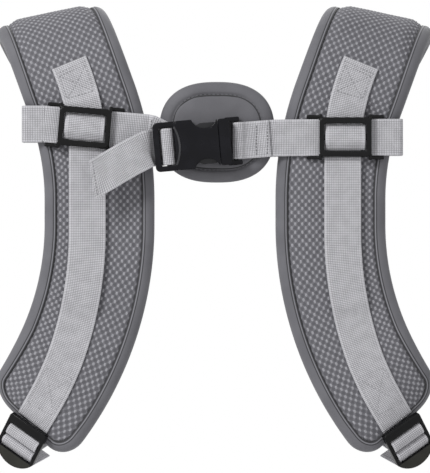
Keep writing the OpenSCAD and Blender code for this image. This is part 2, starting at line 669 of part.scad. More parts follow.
// ---- Oval back pad ----------------------------------------------------------------------------
oval_mid = (chest_h - fit - oval_back) / 2;
oval_rise = chest_h - fit - oval_mid;
oval_steps = [1, 0.97, 0.88, 0.7, 0.4];
function dome(k) = sqrt(1 - pow(k, 4));
function oval_point(a, k, h) = let (c = cos(a), s = sin(a)) [
    oval_shift + k * oval_w / 2 * sign(c) * pow(abs(c), oval_round),
    -mid_r - h,
    chest_z + k * oval_h / 2 * sign(s) * pow(abs(s), oval_round)
];
// A solid between two domed faces that share the oval's outline; each face is mid + rise * dome
module oval_solid(size, top_mid, top_rise, low_mid, low_rise) {
    n = 32;
    m = len(oval_steps);
    function ring(k, mid, rise) = [for (i = [0:n - 1])
        oval_point(i * 360 / n, k * size, mid + rise * dome(k))];
    points = concat(
        [for (k = oval_steps) each ring(k, top_mid, top_rise)],
        [for (k = oval_steps) each ring(k, low_mid, low_rise)],
        [oval_point(0, 0, top_mid + top_rise), oval_point(0, 0, low_mid + low_rise)]
    );
    function quad(a, b, c, d) = [[a, b, c], [a, c, d]];
    faces = [for (i = [0:n - 1]) let (j = (i + 1) % n) each concat(
        [for (r = [0:m - 2]) each quad(r * n + i, (r + 1) * n + i, (r + 1) * n + j, r * n + j)],
        [[(m - 1) * n + i, 2 * m * n, (m - 1) * n + j]],
        quad(i, j, m * n + j, m * n + i),
        [for (r = [m:2 * m - 2]) each quad(r * n + j, (r + 1) * n + j, (r + 1) * n + i, r * n + i)],
        [[(2 * m - 1) * n + j, 2 * m * n + 1, (2 * m - 1) * n + i]]
    )];
    polyhedron(points = points, faces = faces, convexity = 4);
}
module back_pad_front() {
    color(binding_grey) oval_solid(1, oval_mid + 0.6, oval_rise - 0.6,
                                   oval_mid, oval_rise - oval_cover_t);
}
module back_pad_foam() {
    rise = oval_rise - oval_cover_t - 2 * seam;
    color(foam_white) oval_solid(0.94, oval_mid + seam, rise, oval_mid - seam, -rise);
}
module back_pad_rear() {
    color(binding_grey) oval_solid(1, oval_mid - 0.6, oval_cover_t - oval_rise + 0.6,
                                   oval_mid - 1.2, 1.2 - oval_rise);
}

// ---- Nodes -------------------------------------------------------------------------------------
module left() {
    mirror([1, 0, 0]) children();
}
pad_face();  // right_pad_face
pad_foam();  // right_pad_foam
pad_lining();  // right_pad_lining
pad_binding();  // right_pad_binding
strap();  // right_strap
at_adjuster() adjuster();  // right_adjuster
at_adjuster() adjuster_loop();  // right_adjuster_loop
at_adjuster() waist_webbing();  // right_waist_webbing
left() pad_face();  // left_pad_face
left() pad_foam();  // left_pad_foam
left() pad_lining();  // left_pad_lining
left() pad_binding();  // left_pad_binding
left() strap();  // left_strap
left() at_adjuster() adjuster();  // left_adjuster
left() at_adjuster() adjuster_loop();  // left_adjuster_loop
left() at_adjuster() waist_webbing();  // left_waist_webbing
right_slider_place() slider();  // right_slider
right_slider_place() slider_webbing();  // right_slider_webbing
left_slider_place() slider();  // left_slider
left_slider_place() slider_webbing();  // left_slider_webbing
right_chest_webbing();
left_chest_webbing();
buckle_socket();
buckle_plug();
upper_prong();
lower_prong();
adjuster_tail();
back_pad_front();
back_pad_foam();
back_pad_rear();
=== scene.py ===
"""Studio scene of a soft baby carrier's shoulder harness.

Two padded shoulder straps arch over the wearer's shoulders. A chest strap with a side-release
buckle and an oval pad joins them across the back and slides up and down on both. Everything is
in metres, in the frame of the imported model: +X the wearer's right, +Y the wearer's front, +Z up.
"""

from __future__ import annotations

import json
import logging
import math
from contextlib import contextmanager
from dataclasses import dataclass, field
from enum import Enum
from typing import Callable, Iterator, NamedTuple, Sequence

import bmesh
import bpy
from bpy.types import ID, Material, Mesh, NodeSocket, NodeTree, Object, World
from mathutils import Matrix, Vector, noise
from mathutils.bvhtree import BVHTree

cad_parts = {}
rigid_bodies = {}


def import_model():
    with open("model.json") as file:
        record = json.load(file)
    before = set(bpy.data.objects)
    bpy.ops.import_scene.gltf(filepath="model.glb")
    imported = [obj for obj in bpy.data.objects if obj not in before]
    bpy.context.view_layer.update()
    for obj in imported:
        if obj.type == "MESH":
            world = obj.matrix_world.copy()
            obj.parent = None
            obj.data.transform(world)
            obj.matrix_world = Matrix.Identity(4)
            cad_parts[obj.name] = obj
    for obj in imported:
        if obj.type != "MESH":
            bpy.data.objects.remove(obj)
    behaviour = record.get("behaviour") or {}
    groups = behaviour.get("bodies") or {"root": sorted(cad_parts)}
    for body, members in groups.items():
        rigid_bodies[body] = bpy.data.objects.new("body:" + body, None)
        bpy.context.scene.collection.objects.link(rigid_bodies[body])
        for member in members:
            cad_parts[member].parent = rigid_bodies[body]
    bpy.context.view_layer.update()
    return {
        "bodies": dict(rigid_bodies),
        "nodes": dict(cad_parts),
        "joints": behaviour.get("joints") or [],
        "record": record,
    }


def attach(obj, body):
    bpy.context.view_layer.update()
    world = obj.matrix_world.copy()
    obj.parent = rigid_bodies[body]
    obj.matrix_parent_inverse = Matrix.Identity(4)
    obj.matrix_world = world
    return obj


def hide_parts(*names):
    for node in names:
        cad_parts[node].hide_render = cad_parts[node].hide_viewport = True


log = logging.getLogger("harness")
MM = 0.001
AHEAD = Vector((0.0, 1.0, 0.0))
UP = Vector((0.0, 0.0, 1.0))
Pair = tuple[float, float]
Triple = tuple[float, float, float]
Faces = list[tuple[int, ...]]
Swell = Callable[[float, float], float]


class Side(Enum):
    """The wearer's right or left; the value is the sign of x."""

    RIGHT = 1
    LEFT = -1

    @property
    def word(self) -> str:
        """The side's name, as node and body names begin with it."""
        return self.name.lower()


# ---- Shader arithmetic ----


class Wire:
    """A number in a shader: arithmetic on it adds Math nodes to its tree."""

    def __init__(self, shader: Shader, socket: NodeSocket) -> None:
        """Wraps one output socket of shader's tree."""
        self.shader = shader
        self.socket = socket

    def _join(self, operation: str, first: object, second: object = None,
              clamp: bool = False) -> Wire:
        """Adds one Math node.

        Args:
            operation: what it does.
            first: its first value or wire.
            second: its second, if it has one.
            clamp: whether to hold the result between 0 and 1.

        Returns:
            Its output.
        """
        values = {0: first} if second is None else {0: first, 1: second}
        settings = {"operation": operation, "use_clamp": clamp}
        return self.shader.node("ShaderNodeMath", settings, values)

    def __add__(self, other: object) -> Wire:
        """self + other."""
        return self._join("ADD", self, other)

    __radd__ = __add__

    def __sub__(self, other: object) -> Wire:
        """self - other."""
        return self._join("SUBTRACT", self, other)

    def __rsub__(self, other: object) -> Wire:
        """other - self."""
        return self._join("SUBTRACT", other, self)

    def __mul__(self, other: object) -> Wire:
        """self * other."""
        return self._join("MULTIPLY", self, other)

    __rmul__ = __mul__

    def __truediv__(self, other: object) -> Wire:
        """self / other."""
        return self._join("DIVIDE", self, other)

    def size(self) -> Wire:
        """The absolute value."""
        return self._join("ABSOLUTE", self)

    def fraction(self) -> Wire:
        """The part above the whole number."""
        return self._join("FRACT", self)

    def power(self, exponent: float) -> Wire:
        """self to a power."""
        return self._join("POWER", self, exponent)

    def clamped(self) -> Wire:
        """self, kept between 0 and 1."""
        return self._join("ADD", self, 0.0, clamp=True)

    def smaller(self, other: object) -> Wire:
        """The smaller of two."""
        return self._join("MINIMUM", self, other)

    def larger(self, other: object) -> Wire:
        """The larger of two."""
        return self._join("MAXIMUM", self, other)

    def band(self, line: float, half: float) -> Wire:
        """1 about line, fading to 0 at this distance to either side of it."""
        return (self - line).size().ramp(half, half / 2)

    def ramp(self, low: float, high: float) -> Wire:
        """0 below low, 1 above high and smooth between them.

        Args:
            low: where it is 0.
            high: where it is 1; it may be the lower.

        Returns:
            The ramp.
        """
        settings = {"interpolation_type": "SMOOTHSTEP"}
        values = {0: self, 1: min(low, high), 2: max(low, high)}
        rising = self.shader.node("ShaderNodeMapRange", settings, values)
        return rising if low <= high else 1.0 - rising


class Shader:
    """A material, or the world, under construction."""

    def __init__(self, owner: Material | World, surface: str = "ShaderNodeBsdfPrincipled",
                 output: str = "ShaderNodeOutputMaterial") -> None:
        """Clears the owner's tree and starts it with one surface shader and its output.

        Args:
            owner: the material or world.
            surface: the surface shader's type name.
            output: the output node's type name.
        """
        owner.use_nodes = True
        self.tree = owner.node_tree
        self.tree.nodes.clear()
        self.surface = self.tree.nodes.new(surface)
        self.tree.links.new(self.surface.outputs[0], self.tree.nodes.new(output).inputs[0])

    def feed(self, socket: NodeSocket, value: object) -> None:
        """Links a wire to a socket, or sets the socket's own value.

        Args:
            socket: the socket.
            value: the wire or value.
        """
        if isinstance(value, Wire):
            self.tree.links.new(value.socket, socket)
        elif isinstance(value, tuple) and len(value) == 3 and socket.type == "RGBA":
            socket.default_value = (*value, 1.0)
        else:
            socket.default_value = value

    def node(self, kind: str, settings: dict | None = None, values: dict | None = None,
             output: int | str = 0) -> Wire:
        """Adds a node.

        Args:
            kind: the node's type name.
            settings: its properties, set first.
            values: values or wires for its sockets, by index or name.
            output: which output to return.

        Returns:
            The output as a wire.
        """
        made = self.tree.nodes.new(kind)
        for key, value in (settings or {}).items():
            setattr(made, key, value)
        for key, value in (values or {}).items():
            self.feed(made.inputs[key], value)
        return Wire(self, made.outputs[output])

    def set(self, **values: object) -> None:
        """Feeds the Principled shader's sockets; an underscore in a name stands for a space."""
        for key, value in values.items():
            self.feed(self.surface.inputs[key.replace("_", " ")], value)

    def mix(self, factor: object, first: object, second: object) -> Wire:
        """Mixes two colours.

        Args:
            factor: the second colour's share.
            first: a colour or wire.
            second: another.

        Returns:
            The mixed colour.
        """
        made = self.tree.nodes.new("ShaderNodeMix")
        made.data_type = "RGBA"
        sockets = [s for s in made.inputs if s.enabled]
        for socket, value in zip(sockets, (factor, first, second)):
            self.feed(socket, value)
        return Wire(self, next(s for s in made.outputs if s.enabled))

    def cloth_axes(self) -> tuple[Wire, Wire]:
        """Distances along and across a piece of cloth.

        Returns:
            Both in millimetres, from the piece's own UV map.
        """
        uv = self.node("ShaderNodeUVMap", {"uv_map": "cloth"})
        split = self.tree.nodes.new("ShaderNodeSeparateXYZ")
        self.tree.links.new(uv.socket, split.inputs[0])
        return Wire(self, split.outputs[0]), Wire(self, split.outputs[1])

    def grain(self, scale: float, detail: float = 2.0) -> Wire:
        """Noise over the object.

        Args:
            scale: how fine it is, in cells a metre.
            detail: how many finer layers it has.

        Returns:
            The noise, from 0 to 1.
        """
        place = self.node("ShaderNodeTexCoord", output="Object")
        return self.node("ShaderNodeTexNoise", None,
                         {"Vector": place, "Scale": scale, "Detail": detail}, "Fac")

    def relief(self, height: Wire, strength: float, distance: float,
               under: Wire | None = None) -> None:
        """Gives the surface a bump.

        Args:
            height: its height.
            strength: its strength.
            distance: how high 1 stands, in metres.
            under: the normal that it is laid on.
        """
        values = {"Strength": strength, "Distance": distance, "Height": height}
        if under:
            values["Normal"] = under
        self.set(Normal=self.node("ShaderNodeBump", None, values))


# ---- Finishes ----

def scaled(colour: Triple, factor: float) -> Triple:
    """A colour made lighter or darker, no part of it over 1."""
    return tuple(min(1.0, factor * c) for c in colour)


@dataclass(frozen=True)
class Finish:
    """A finish: its name, colours and roughness. Subclasses draw its detail."""

    name: str
    colour: Triple
    shade: Triple
    roughness: float = 0.85

    def material(self) -> Material:
        """The finish's material.

        Returns:
            The material, made at the first call.
        """
        found = bpy.data.materials.get(self.name)
        if not found:
            found = bpy.data.materials.new(self.name)
            self.draw(Shader(found))
        return found

    def draw(self, sh: Shader) -> None:
        """Draws the finish's colour and relief."""
        raise NotImplementedError


@dataclass(frozen=True)
class RibbedWebbing(Finish):
    """Woven webbing: ribs along it, crossed by fine picks, with firm selvedges."""

    rib: float = 1.5
    pick: float = 1.15
    width: float = 25.0

    def draw(self, sh: Shader) -> None:
        """Ribs and picks as an alternating weave, from the cloth's own axes.

        Args:
            sh: the material.
        """
        along, across = sh.cloth_axes()
        rib = ((across / self.rib).fraction() - 0.5).size() * 2.0
        pick = ((along / self.pick).fraction() - 0.5).size() * 2.0
        bump = (1.0 - rib.power(3.0) * 0.7) * (1.0 - pick.power(2.0))
        wear = sh.grain(160.0)
        tone = (bump * 0.8 + wear.ramp(0.3, 0.7) * 0.12 + 0.13).clamped()
        edge = (across.size() - (self.width / 2 - 1.6)).ramp(0.0, 0.6)
        base = sh.mix(tone, self.shade, self.colour)
        sh.set(Base_Color=sh.mix(edge * 0.35, base, scaled(self.colour, 1.06)),
               Roughness=self.roughness, Sheen_Weight=0.12)
        sh.relief(bump + wear * 0.25, 0.8, 0.0004)


@dataclass(frozen=True)
class SmoothCloth(Finish):
    """Smooth woven cloth, as on bindings, linings and the oval pad."""

    weave: float = 2600.0

    def draw(self, sh: Shader) -> None:
        """A fine weave under slow changes of tone.

        Args:
            sh: the material.
        """
        fine = sh.grain(self.weave, 1.0)
        slow = sh.grain(45.0, 3.0)
        tone = (fine * 0.45 + slow.ramp(0.3, 0.7) * 0.55).clamped()
        base = self.tint(sh, sh.mix(tone, self.shade, self.colour))
        sh.set(Base_Color=base, Roughness=self.roughness, Sheen_Weight=0.15)
        sh.relief(fine + slow * 1.2, 0.5, 0.0002)

    def tint(self, sh: Shader, base: Wire) -> Wire:
        """The cloth's colour, with any lines of its own."""
        return base


@dataclass(frozen=True)
class BindingCloth(SmoothCloth):
    """The bindings' cloth, with a painted shade line, a painted ridge highlight and a painted lip
    shadow.
    """

    # Where across the cloth lie the painted shade line, the painted highlight and the start of the
    # painted lip shadow.
    crease: float = 10.0
    line: float = 10.6
    lip: float = 10.95

    def tint(self, sh: Shader, base: Wire) -> Wire:
        """Paints a shade line, a highlight on the ridge by the seam and the shadow at the lip, by
        distance across the cloth.

        Args:
            sh: the material.
            base: the plain cloth's colour.

        Returns:
            The colour with its painted shade and highlight lines.
        """
        far = sh.cloth_axes()[1].size()
        # The tone of the painted shade and shadow; the painted highlight is the cloth's colour made
        # lighter.
        dark = scaled(self.shade, 0.12)
        crease_shaded = sh.mix(far.band(self.crease, 0.44) * 0.85, base, dark)
        ridge_highlighted = sh.mix(far.band(self.line, 0.36) * 0.9, crease_shaded, scaled(self.colour, 1.45))
        return sh.mix(far.ramp(self.lip, self.lip + 0.12) * 0.9, ridge_highlighted, dark)


@dataclass(frozen=True)
class SpacerMesh(Finish):
    """Knitted spacer mesh: a dark open ground with paler raised dots in a diamond grid."""

    knot: Triple = (0.27, 0.268, 0.292)
    dot_along: float = 5.2
    dot_across: float = 4.8

    def draw(self, sh: Shader) -> None:
        """Draws the open knit and the pale surround of each raised dot, partly the knit's own tone
        and partly a painted highlight.

        Args:
            sh: the material.
        """
        along, across = sh.cloth_axes()
        u, v = along / self.dot_along, across / self.dot_across
        first = ((u + v + 0.5).fraction() - 0.5).size()
        second = ((u - v + 0.5).fraction() - 0.5).size()
        # The pale surround of each dot: partly the knit's tone, partly a painted highlight.
        halo = (first + second).ramp(0.42, 0.12)
        cell = (first + second).ramp(0.34, 0.62) * first.smaller(second).ramp(0.02, 0.36)
        wear, fine = sh.grain(260.0), sh.grain(1500.0, 1.0)
        tone = (wear.ramp(0.25, 0.75) * 0.45 + fine.ramp(0.3, 0.7) * 0.55).clamped()
        base = sh.mix(halo * (0.45 + wear * 0.7), sh.mix(tone, self.shade, self.colour), self.knot)
        sh.set(Base_Color=sh.mix(cell * (0.1 + fine * 0.9), base, scaled(self.shade, 0.55)),
               Roughness=self.roughness)
        sh.relief(halo + fine * 0.5 - cell * 0.5, 0.8, 0.0004)


@dataclass(frozen=True)
class Thread(Finish):
    """Sewing thread, or the knitted yarn of a raised dot."""

    def draw(self, sh: Shader) -> None:
        """Twisted strands as fine noise.

        Args:
            sh: the material.
        """
        twist = sh.grain(1500.0, 2.0)
        sh.set(Base_Color=sh.mix(twist.ramp(0.3, 0.7), self.shade, self.colour),
               Roughness=self.roughness)
        sh.relief(twist, 0.4, 0.0001)


@dataclass(frozen=True)
class MouldedPlastic(Finish):
    """Injection-moulded acetal with a fine spark-eroded grain."""

    grain_size: float = 3200.0
    grain_depth: float = 0.00004
    shine: float = 0.2
    round_over: float = 0.0015

    def draw(self, sh: Shader) -> None:
        """A fine moulded grain, with scuffs that vary the gloss.

        Args:
            sh: the material.
        """
        fine = sh.grain(self.grain_size, 1.0)
        scuff = sh.grain(90.0, 4.0)
        gloss = (scuff.ramp(0.3, 0.8) * 0.14 + (self.roughness - 0.07)).clamped()
        sh.set(Base_Color=sh.mix(scuff.ramp(0.35, 0.75), self.shade, self.colour),
               Roughness=gloss, Specular_IOR_Level=self.shine)
        soft = sh.node("ShaderNodeBevel", {"samples": 6}, {"Radius": self.round_over})
        sh.relief(fine, 0.35, self.grain_depth, soft)


WEBBING = RibbedWebbing("webbing_light_grey", (0.66, 0.655, 0.69), (0.14, 0.139, 0.149))
MESH = SpacerMesh("mesh_dark_grey", (0.195, 0.193, 0.214), (0.113, 0.112, 0.126), 0.8)
# The dots' yarn: pale partly by its own tone and partly as a painted highlight on the raised knit.
DOT = Thread("mesh_dot_yarn", (0.385, 0.383, 0.414), (0.26, 0.258, 0.28), 0.8)
BINDING = BindingCloth("binding_mid_grey", (0.155, 0.154, 0.17), (0.11, 0.109, 0.122), 0.72)
LINING = SmoothCloth("lining_dark_grey", (0.062, 0.062, 0.066), (0.043, 0.043, 0.046),
                     weave=2000.0)
OVAL_CLOTH = SmoothCloth("oval_pad_grey", (0.14, 0.139, 0.153), (0.10, 0.099, 0.11), 0.72, 2200.0)
GREY_THREAD = Thread("thread_mid_grey", (0.25, 0.25, 0.26), (0.15, 0.15, 0.16), 0.7)
SPECK_THREAD = Thread("thread_speckled", (0.30, 0.30, 0.315), (0.13, 0.13, 0.138), 0.7)
FAINT_THREAD = Thread("thread_pale_grey", (0.40, 0.40, 0.42), (0.24, 0.24, 0.25), 0.7)
# Dark grey: the oval pad's seam thread, darkened as painted shade of its stitch holes, and the
# painted shadow strip in its folds.
DARK_THREAD_AND_SHADOW = Thread("thread_dark_grey", (0.035, 0.035, 0.038), (0.018, 0.018, 0.02), 0.75)
BLACK = MouldedPlastic("acetal_black", (0.004, 0.004, 0.0046), (0.0025, 0.0025, 0.003), 0.27)
BLUE_BLACK = MouldedPlastic("acetal_blue_black", (0.007, 0.007, 0.0098),
                            (0.0045, 0.0045, 0.0064), 0.27, shine=0.15)
# Lighter than the socket's acetal: a painted highlight standing for the light along the prong tabs'
# edges.
PRONG = MouldedPlastic("acetal_prong", (0.014, 0.014, 0.017), (0.009, 0.009, 0.011), 0.3,
                       shine=0.3)
# A lighter copy of the acetal on the socket's ridge: a painted highlight.
RIDGE_HIGHLIGHT = MouldedPlastic("acetal_worn_ridge", (0.05, 0.05, 0.055), (0.03, 0.03, 0.034), 0.28,
                       shine=0.35)
TAB_OLIVE = MouldedPlastic("acetal_dark_olive", (0.04, 0.04, 0.034), (0.028, 0.028, 0.024), 0.62,
                           grain_size=1500.0, grain_depth=0.00012, shine=0.15)


# ---- The harness's form ----


class Flat(NamedTuple):
    """A point on the pad's flat cloth, before it is laid on the wearer."""

    x: float
    z: float


class Pose(NamedTuple):
    """A flat place and the way a path runs there, in degrees from up, turning outward."""

    x: float
    z: float
    heading: float

    def step(self, length: float, turn: float) -> Pose:
        """Follows an arc.

        Args:
            length: the arc's length.
            turn: the degrees by which it turns outward.

        Returns:
            The pose at its end.
        """
        if abs(turn) < 1e-9:
            a = math.radians(self.heading)
            return Pose(self.x + length * math.sin(a), self.z + length * math.cos(a), self.heading)
        a, b = math.radians(self.heading), math.radians(self.heading + turn)
        radius = length / math.radians(turn)
        return Pose(self.x + radius * (math.cos(a) - math.cos(b)),
                    self.z + radius * (math.sin(b) - math.sin(a)), self.heading + turn)

    def beside(self, offset: float) -> Flat:
        """The flat point offset to the outward side."""
        a = math.radians(self.heading)
        return Flat(self.x + offset * math.cos(a), self.z - offset * math.sin(a))

    def seen_from(self, p: Flat) -> Pair:
        """Places a point against this pose.

        Args:
            p: a flat point.

        Returns:
            How far ahead it lies, and how far outward.
        """
        a = math.radians(self.heading)
        dx, dz = p.x - self.x, p.z - self.z
        return dx * math.sin(a) + dz * math.cos(a), dx * math.cos(a) - dz * math.sin(a)


@dataclass(frozen=True)
class Path:
    """Stretches laid end to end on the flat cloth, each of (length, turn in degrees)."""

    start: Pose
    stretches: tuple[Pair, ...]

    def length(self, count: int | None = None) -> float:
        """Length of the first count stretches, or of all."""
        return sum(s[0] for s in self.stretches[:count])

    def at(self, s: float) -> Pose:
        """The pose at a distance along the path.

        Args:
            s: the distance; beyond either end the path runs on.

        Returns:
            The pose there.
        """
        pose = self.start
        for i, (length, turn) in enumerate(self.stretches):
            if s <= length or i == len(self.stretches) - 1:
                return pose.step(s, turn * s / length)
            pose = pose.step(length, turn)
            s -= length
        return pose


def smooth(t: float) -> float:
    """Smoothstep of t, held between 0 and 1."""
    c = max(0.0, min(1.0, t))
    return c * c * (3 - 2 * c)


def lerp(a: float, b: float, t: float) -> float:
    """a at t = 0, b at t = 1."""
    return a + (b - a) * t


def distance(a: Sequence[float], b: Sequence[float]) -> float:
    """How far apart two flat points are."""
    return math.hypot(b[0] - a[0], b[1] - a[1])


def between(a: Flat, b: Flat, t: float) -> Flat:
    """The flat point at share t of the way from a to b."""
    return Flat(lerp(a.x, b.x, t), lerp(a.z, b.z, t))


@dataclass
class HarnessForm:
    """The shared form: how flat cloth lies on the wearer, and the levels of the layers on it."""

    pad_w: float = 75 * MM
    pad_t: float = 14 * MM
    pad_gap: float = 82.4 * MM
    narrow_drop: float = 86.5 * MM
    pad_straight: float = 17 * MM
    upper_sweep: Pair = (200 * MM, 20.0)
    lower_sweep: Pair = (210 * MM, 41.0)
    shoulder_r: float = 55 * MM
    shoulder_lead: float = 8 * MM
    shoulder_slope: float = 12.0
    front_run: float = 60 * MM
    front_w: float = 50 * MM
    side_curl_r: float = 55 * MM
    curl_reach: float = 38 * MM
    curl_angle: float = 30.0
    corner_in: float = 16 * MM
    corner_out: float = 21 * MM
    web_w: float = 25 * MM
    web_t: float = 1.2 * MM
    fit: float = 0.3 * MM
    seam: float = 0.15 * MM
    toe_t: float = 1 * MM
    turn_lead: float = 5 * MM
    back_turn: float = 60 * MM
    strap_shift: float = 8.1 * MM
    strap_above: float = 35.5 * MM
    strap_below: float = 5 * MM
    strap_foot_up: float = 8 * MM
    strap_foot_in: float = 3.4 * MM
    strap_head_up: float = 24 * MM
    sewn_top: float = 18 * MM
    sewn_end: float = 76 * MM
    foot_rise: float = 12 * MM
    head_fall: float = 8 * MM
    chest_drop: float = 32 * MM
    chest_travel: float = 96 * MM
    loop_room: float = 0.9 * MM
    left_rise: float = 5.5 * MM
    left_end: float = 27 * MM
    left_dip: float = 3.5 * MM
    knee_run: float = 18 * MM
    sag: float = 0.5 * MM
    right_drop: float = 3.5 * MM
    bar_drop: float = 6 * MM
    bar_x: float = 14.6 * MM

    def __post_init__(self) -> None:
        """Works out levels, paths and the lines where the cloth starts to bend."""
        self.half_t = self.pad_t / 2
        self.mid_r = self.shoulder_r - self.half_t
        self.toe_h = self.half_t + self.fit
        self.chest_h = self.toe_h + self.toe_t + self.seam
        self.strap_h = self.chest_h + self.web_t + self.fit
        self.sewn_h = self.half_t + self.fit
        self.slider_h = self.strap_h + self.web_t + self.fit
        self.sewn_top_h = self.chest_h + self.web_t
        self.buckle_h = self.strap_h
        self.back_h = self.half_t + self.loop_room
        self.pad_x = self.pad_gap / 2 + self.pad_w / 2
        self.straight_low = -self.narrow_drop - self.pad_straight / 2
        self.straight_high = self.straight_low + self.pad_straight
        self.arch_len = math.pi * self.mid_r
        self.chest_z = -self.chest_drop
        self.pad_out = self.pad_x + self.pad_w / 2
        self.strap_x = self.pad_x + self.strap_shift
        self.knee = self.left_end + self.knee_run
        self.hangs = {
            Side.RIGHT: ((self.bar_x, -self.bar_drop),
                         (self.pad_gap / 2, -self.right_drop - self.sag),
                         (self.strap_x, -self.right_drop)),
            Side.LEFT: ((self.left_end, -self.bar_drop - self.left_dip), (self.knee, -self.sag),
                        (self.pad_out, self.left_rise)),
        }
        self.left_tilt = math.atan((self.left_rise + self.sag) / (self.pad_out - self.knee))
        self.slope_dir = self._direction(90 - self.shoulder_slope)
        self.curl_dir = self._direction(-self.curl_angle)
        self._lay_pad()
        self._lay_strap()

    @staticmethod
    def _direction(angle: float) -> Flat:
        """A unit flat direction, angle degrees up from outward."""
        return Flat(math.cos(math.radians(angle)), math.sin(math.radians(angle)))

    @staticmethod
    def _dot(a: Flat | Pose, b: Flat) -> float:
        """The distance of a along direction b."""
        return a[0] * b.x + a[1] * b.z

    def _lay_pad(self) -> None:
        """Lays out the pad's middle line and the two bend lines across it."""
        low_r, low_turn = self.lower_sweep
        high_r, high_turn = self.upper_sweep
        turn = math.radians(low_turn)
        start = Pose(self.pad_x + low_r * (1 - math.cos(turn)),
                     self.straight_low - low_r * math.sin(turn), -low_turn)
        rising = self.shoulder_lead + self.arch_len / 2 - self.turn_lead
        rest = self.shoulder_lead + self.arch_len + self.front_run - rising - self.back_turn
        self.pad = Path(start, ((low_r * turn, low_turn), (self.pad_straight, 0.0),
                                (high_r * math.radians(high_turn), high_turn), (rising, 0.0),
                                (self.back_turn, -high_turn), (rest, 0.0)))
        top = self.pad.at(self.pad.length(3) + self.shoulder_lead)
        self.shoulder_line = self._dot(top, self.slope_dir)
        self.curl_line = self._dot(start, self.curl_dir) - self.curl_reach

    def _lay_strap(self) -> None:
        """Lays out the strap: straight over the chest strap's travel, curved beyond it."""
        high = self.straight_high + self.strap_above
        low = self.straight_low - self.strap_below
        self.strap_foot = self.pad.at(self.strap_foot_up).beside(-self.strap_foot_in)
        head = self.pad.at(self.pad.length(3) + self.strap_head_up).beside(0.0)

        def run(p: Flat, z: float) -> Pair:
            """The arc from the straight part's end to p.

            Args:
                p: where the arc ends.
                z: the height of the straight part's end.

            Returns:
                The arc's length, and its turn in degrees.
            """
            dx, dz = p.x - self.strap_x, p.z - z
            turn = 2 * math.atan(dx / abs(dz))
            return (dx * dx + dz * dz) / (2 * dx) * turn, math.degrees(turn)

        foot, top = run(self.strap_foot, low), run(head, high)
        self.foot_turn = foot[1]
        self.strap = Path(Pose(self.strap_foot.x, self.strap_foot.z, -foot[1]),
                          (foot, (high - low, 0.0), top))

    def full_half(self, s: float) -> float:
        """Half of the pad's width at distance s."""
        start = self.pad.length(4)
        return lerp(self.pad_w, self.front_w, smooth((s - start) / (self.pad.length() - start))) / 2

    @staticmethod
    def corner_cut(s: float, r: float) -> float:
        """How far a rounded corner of radius r cuts in at distance s from the end."""
        return r - math.sqrt(max(0.0, r * r - (r - s) ** 2)) if s < r else 0.0

    def edge(self, s: float, outer: bool) -> Flat:
        """The pad's outline at distance s, on the outer or the inner side."""
        reach = self.full_half(s) - self.corner_cut(s, self.corner_out if outer else self.corner_in)
        return self.pad.at(s).beside(reach if outer else -reach)

    def curl_at(self, p: Flat) -> float:
        """Angle in radians by which the cloth has curled round the wearer's side at p."""
        return max(0.0, self._dot(p, self.curl_dir) - self.curl_line) / self.side_curl_r

    def bend(self, p: Flat | Pair, h: float) -> Vector:
        """Lays a flat point on the wearer.

        Args:
            p: the flat point.
            h: its height above the pad's middle surface.

        Returns:
            Its place, on the wearer's right.
        """
        p = Flat(*p)
        d = self._dot(p, self.slope_dir) - self.shoulder_line
        curl = self.curl_at(p)
        if d > 0:
            a = min(d / self.mid_r, math.pi)
            out = (self.mid_r + h) * math.sin(a) - max(0.0, d - self.arch_len) - d
            return Vector((p.x + self.slope_dir.x * out, -(self.mid_r + h) * math.cos(a),
                           p.z + self.slope_dir.z * out))
        if curl > 0:
            out = (self.side_curl_r + h) * math.sin(curl) - curl * self.side_curl_r
            return Vector((p.x + self.curl_dir.x * out,
                           self.side_curl_r - self.mid_r - (self.side_curl_r + h) * math.cos(curl),
                           p.z + self.curl_dir.z * out))
        return Vector((p.x, -self.mid_r - h, p.z))

    def strap_level(self, s: float) -> float:
        """Height of the strap's underside.

        Args:
            s: a distance along the strap.

        Returns:
            The height over the pad's middle surface.
        """
        rise = smooth((s - self.sewn_end) / self.foot_rise)
        fall = smooth((self.strap.length() - self.sewn_top - s) / self.head_fall)
        return self.sewn_h + (self.strap_h - self.sewn_h) * rise * fall

    def hang(self, side: Side, x: float) -> float:
        """Height of a chest webbing's middle line.

        Args:
            side: which of the two webbings.
            x: the distance from the wearer's spine.

        Returns:
            The height over the harness's origin.
        """
        table = self.hangs[side]
        for (a, low), (b, high) in zip(table, table[1:]):
            if x < b:
                return self.chest_z + lerp(low, high, max(0.0, (x - a) / (b - a)))
        return self.chest_z + table[-1][1]

    def pad_outer_x(self, z: float) -> float:
        """How far out the pad reaches over the back.

        Args:
            z: the height.

        Returns:
            The distance from the spine.
        """
        if self.straight_low <= z <= self.straight_high:
            return self.pad_x + self.pad_w / 2
        r = self.upper_sweep[0] if z > self.straight_high else self.lower_sweep[0]
        off = z - (self.straight_high if z > self.straight_high else self.straight_low)
        return self.pad_x + r - math.sqrt((r - self.pad_w / 2) ** 2 - off * off)


def steps(start: float, stop: float, pitch: float) -> list[float]:
    """Even values from start to stop, about pitch apart."""
    count = max(1, round(abs(stop - start) / pitch))
    return [lerp(start, stop, i / count) for i in range(count + 1)]


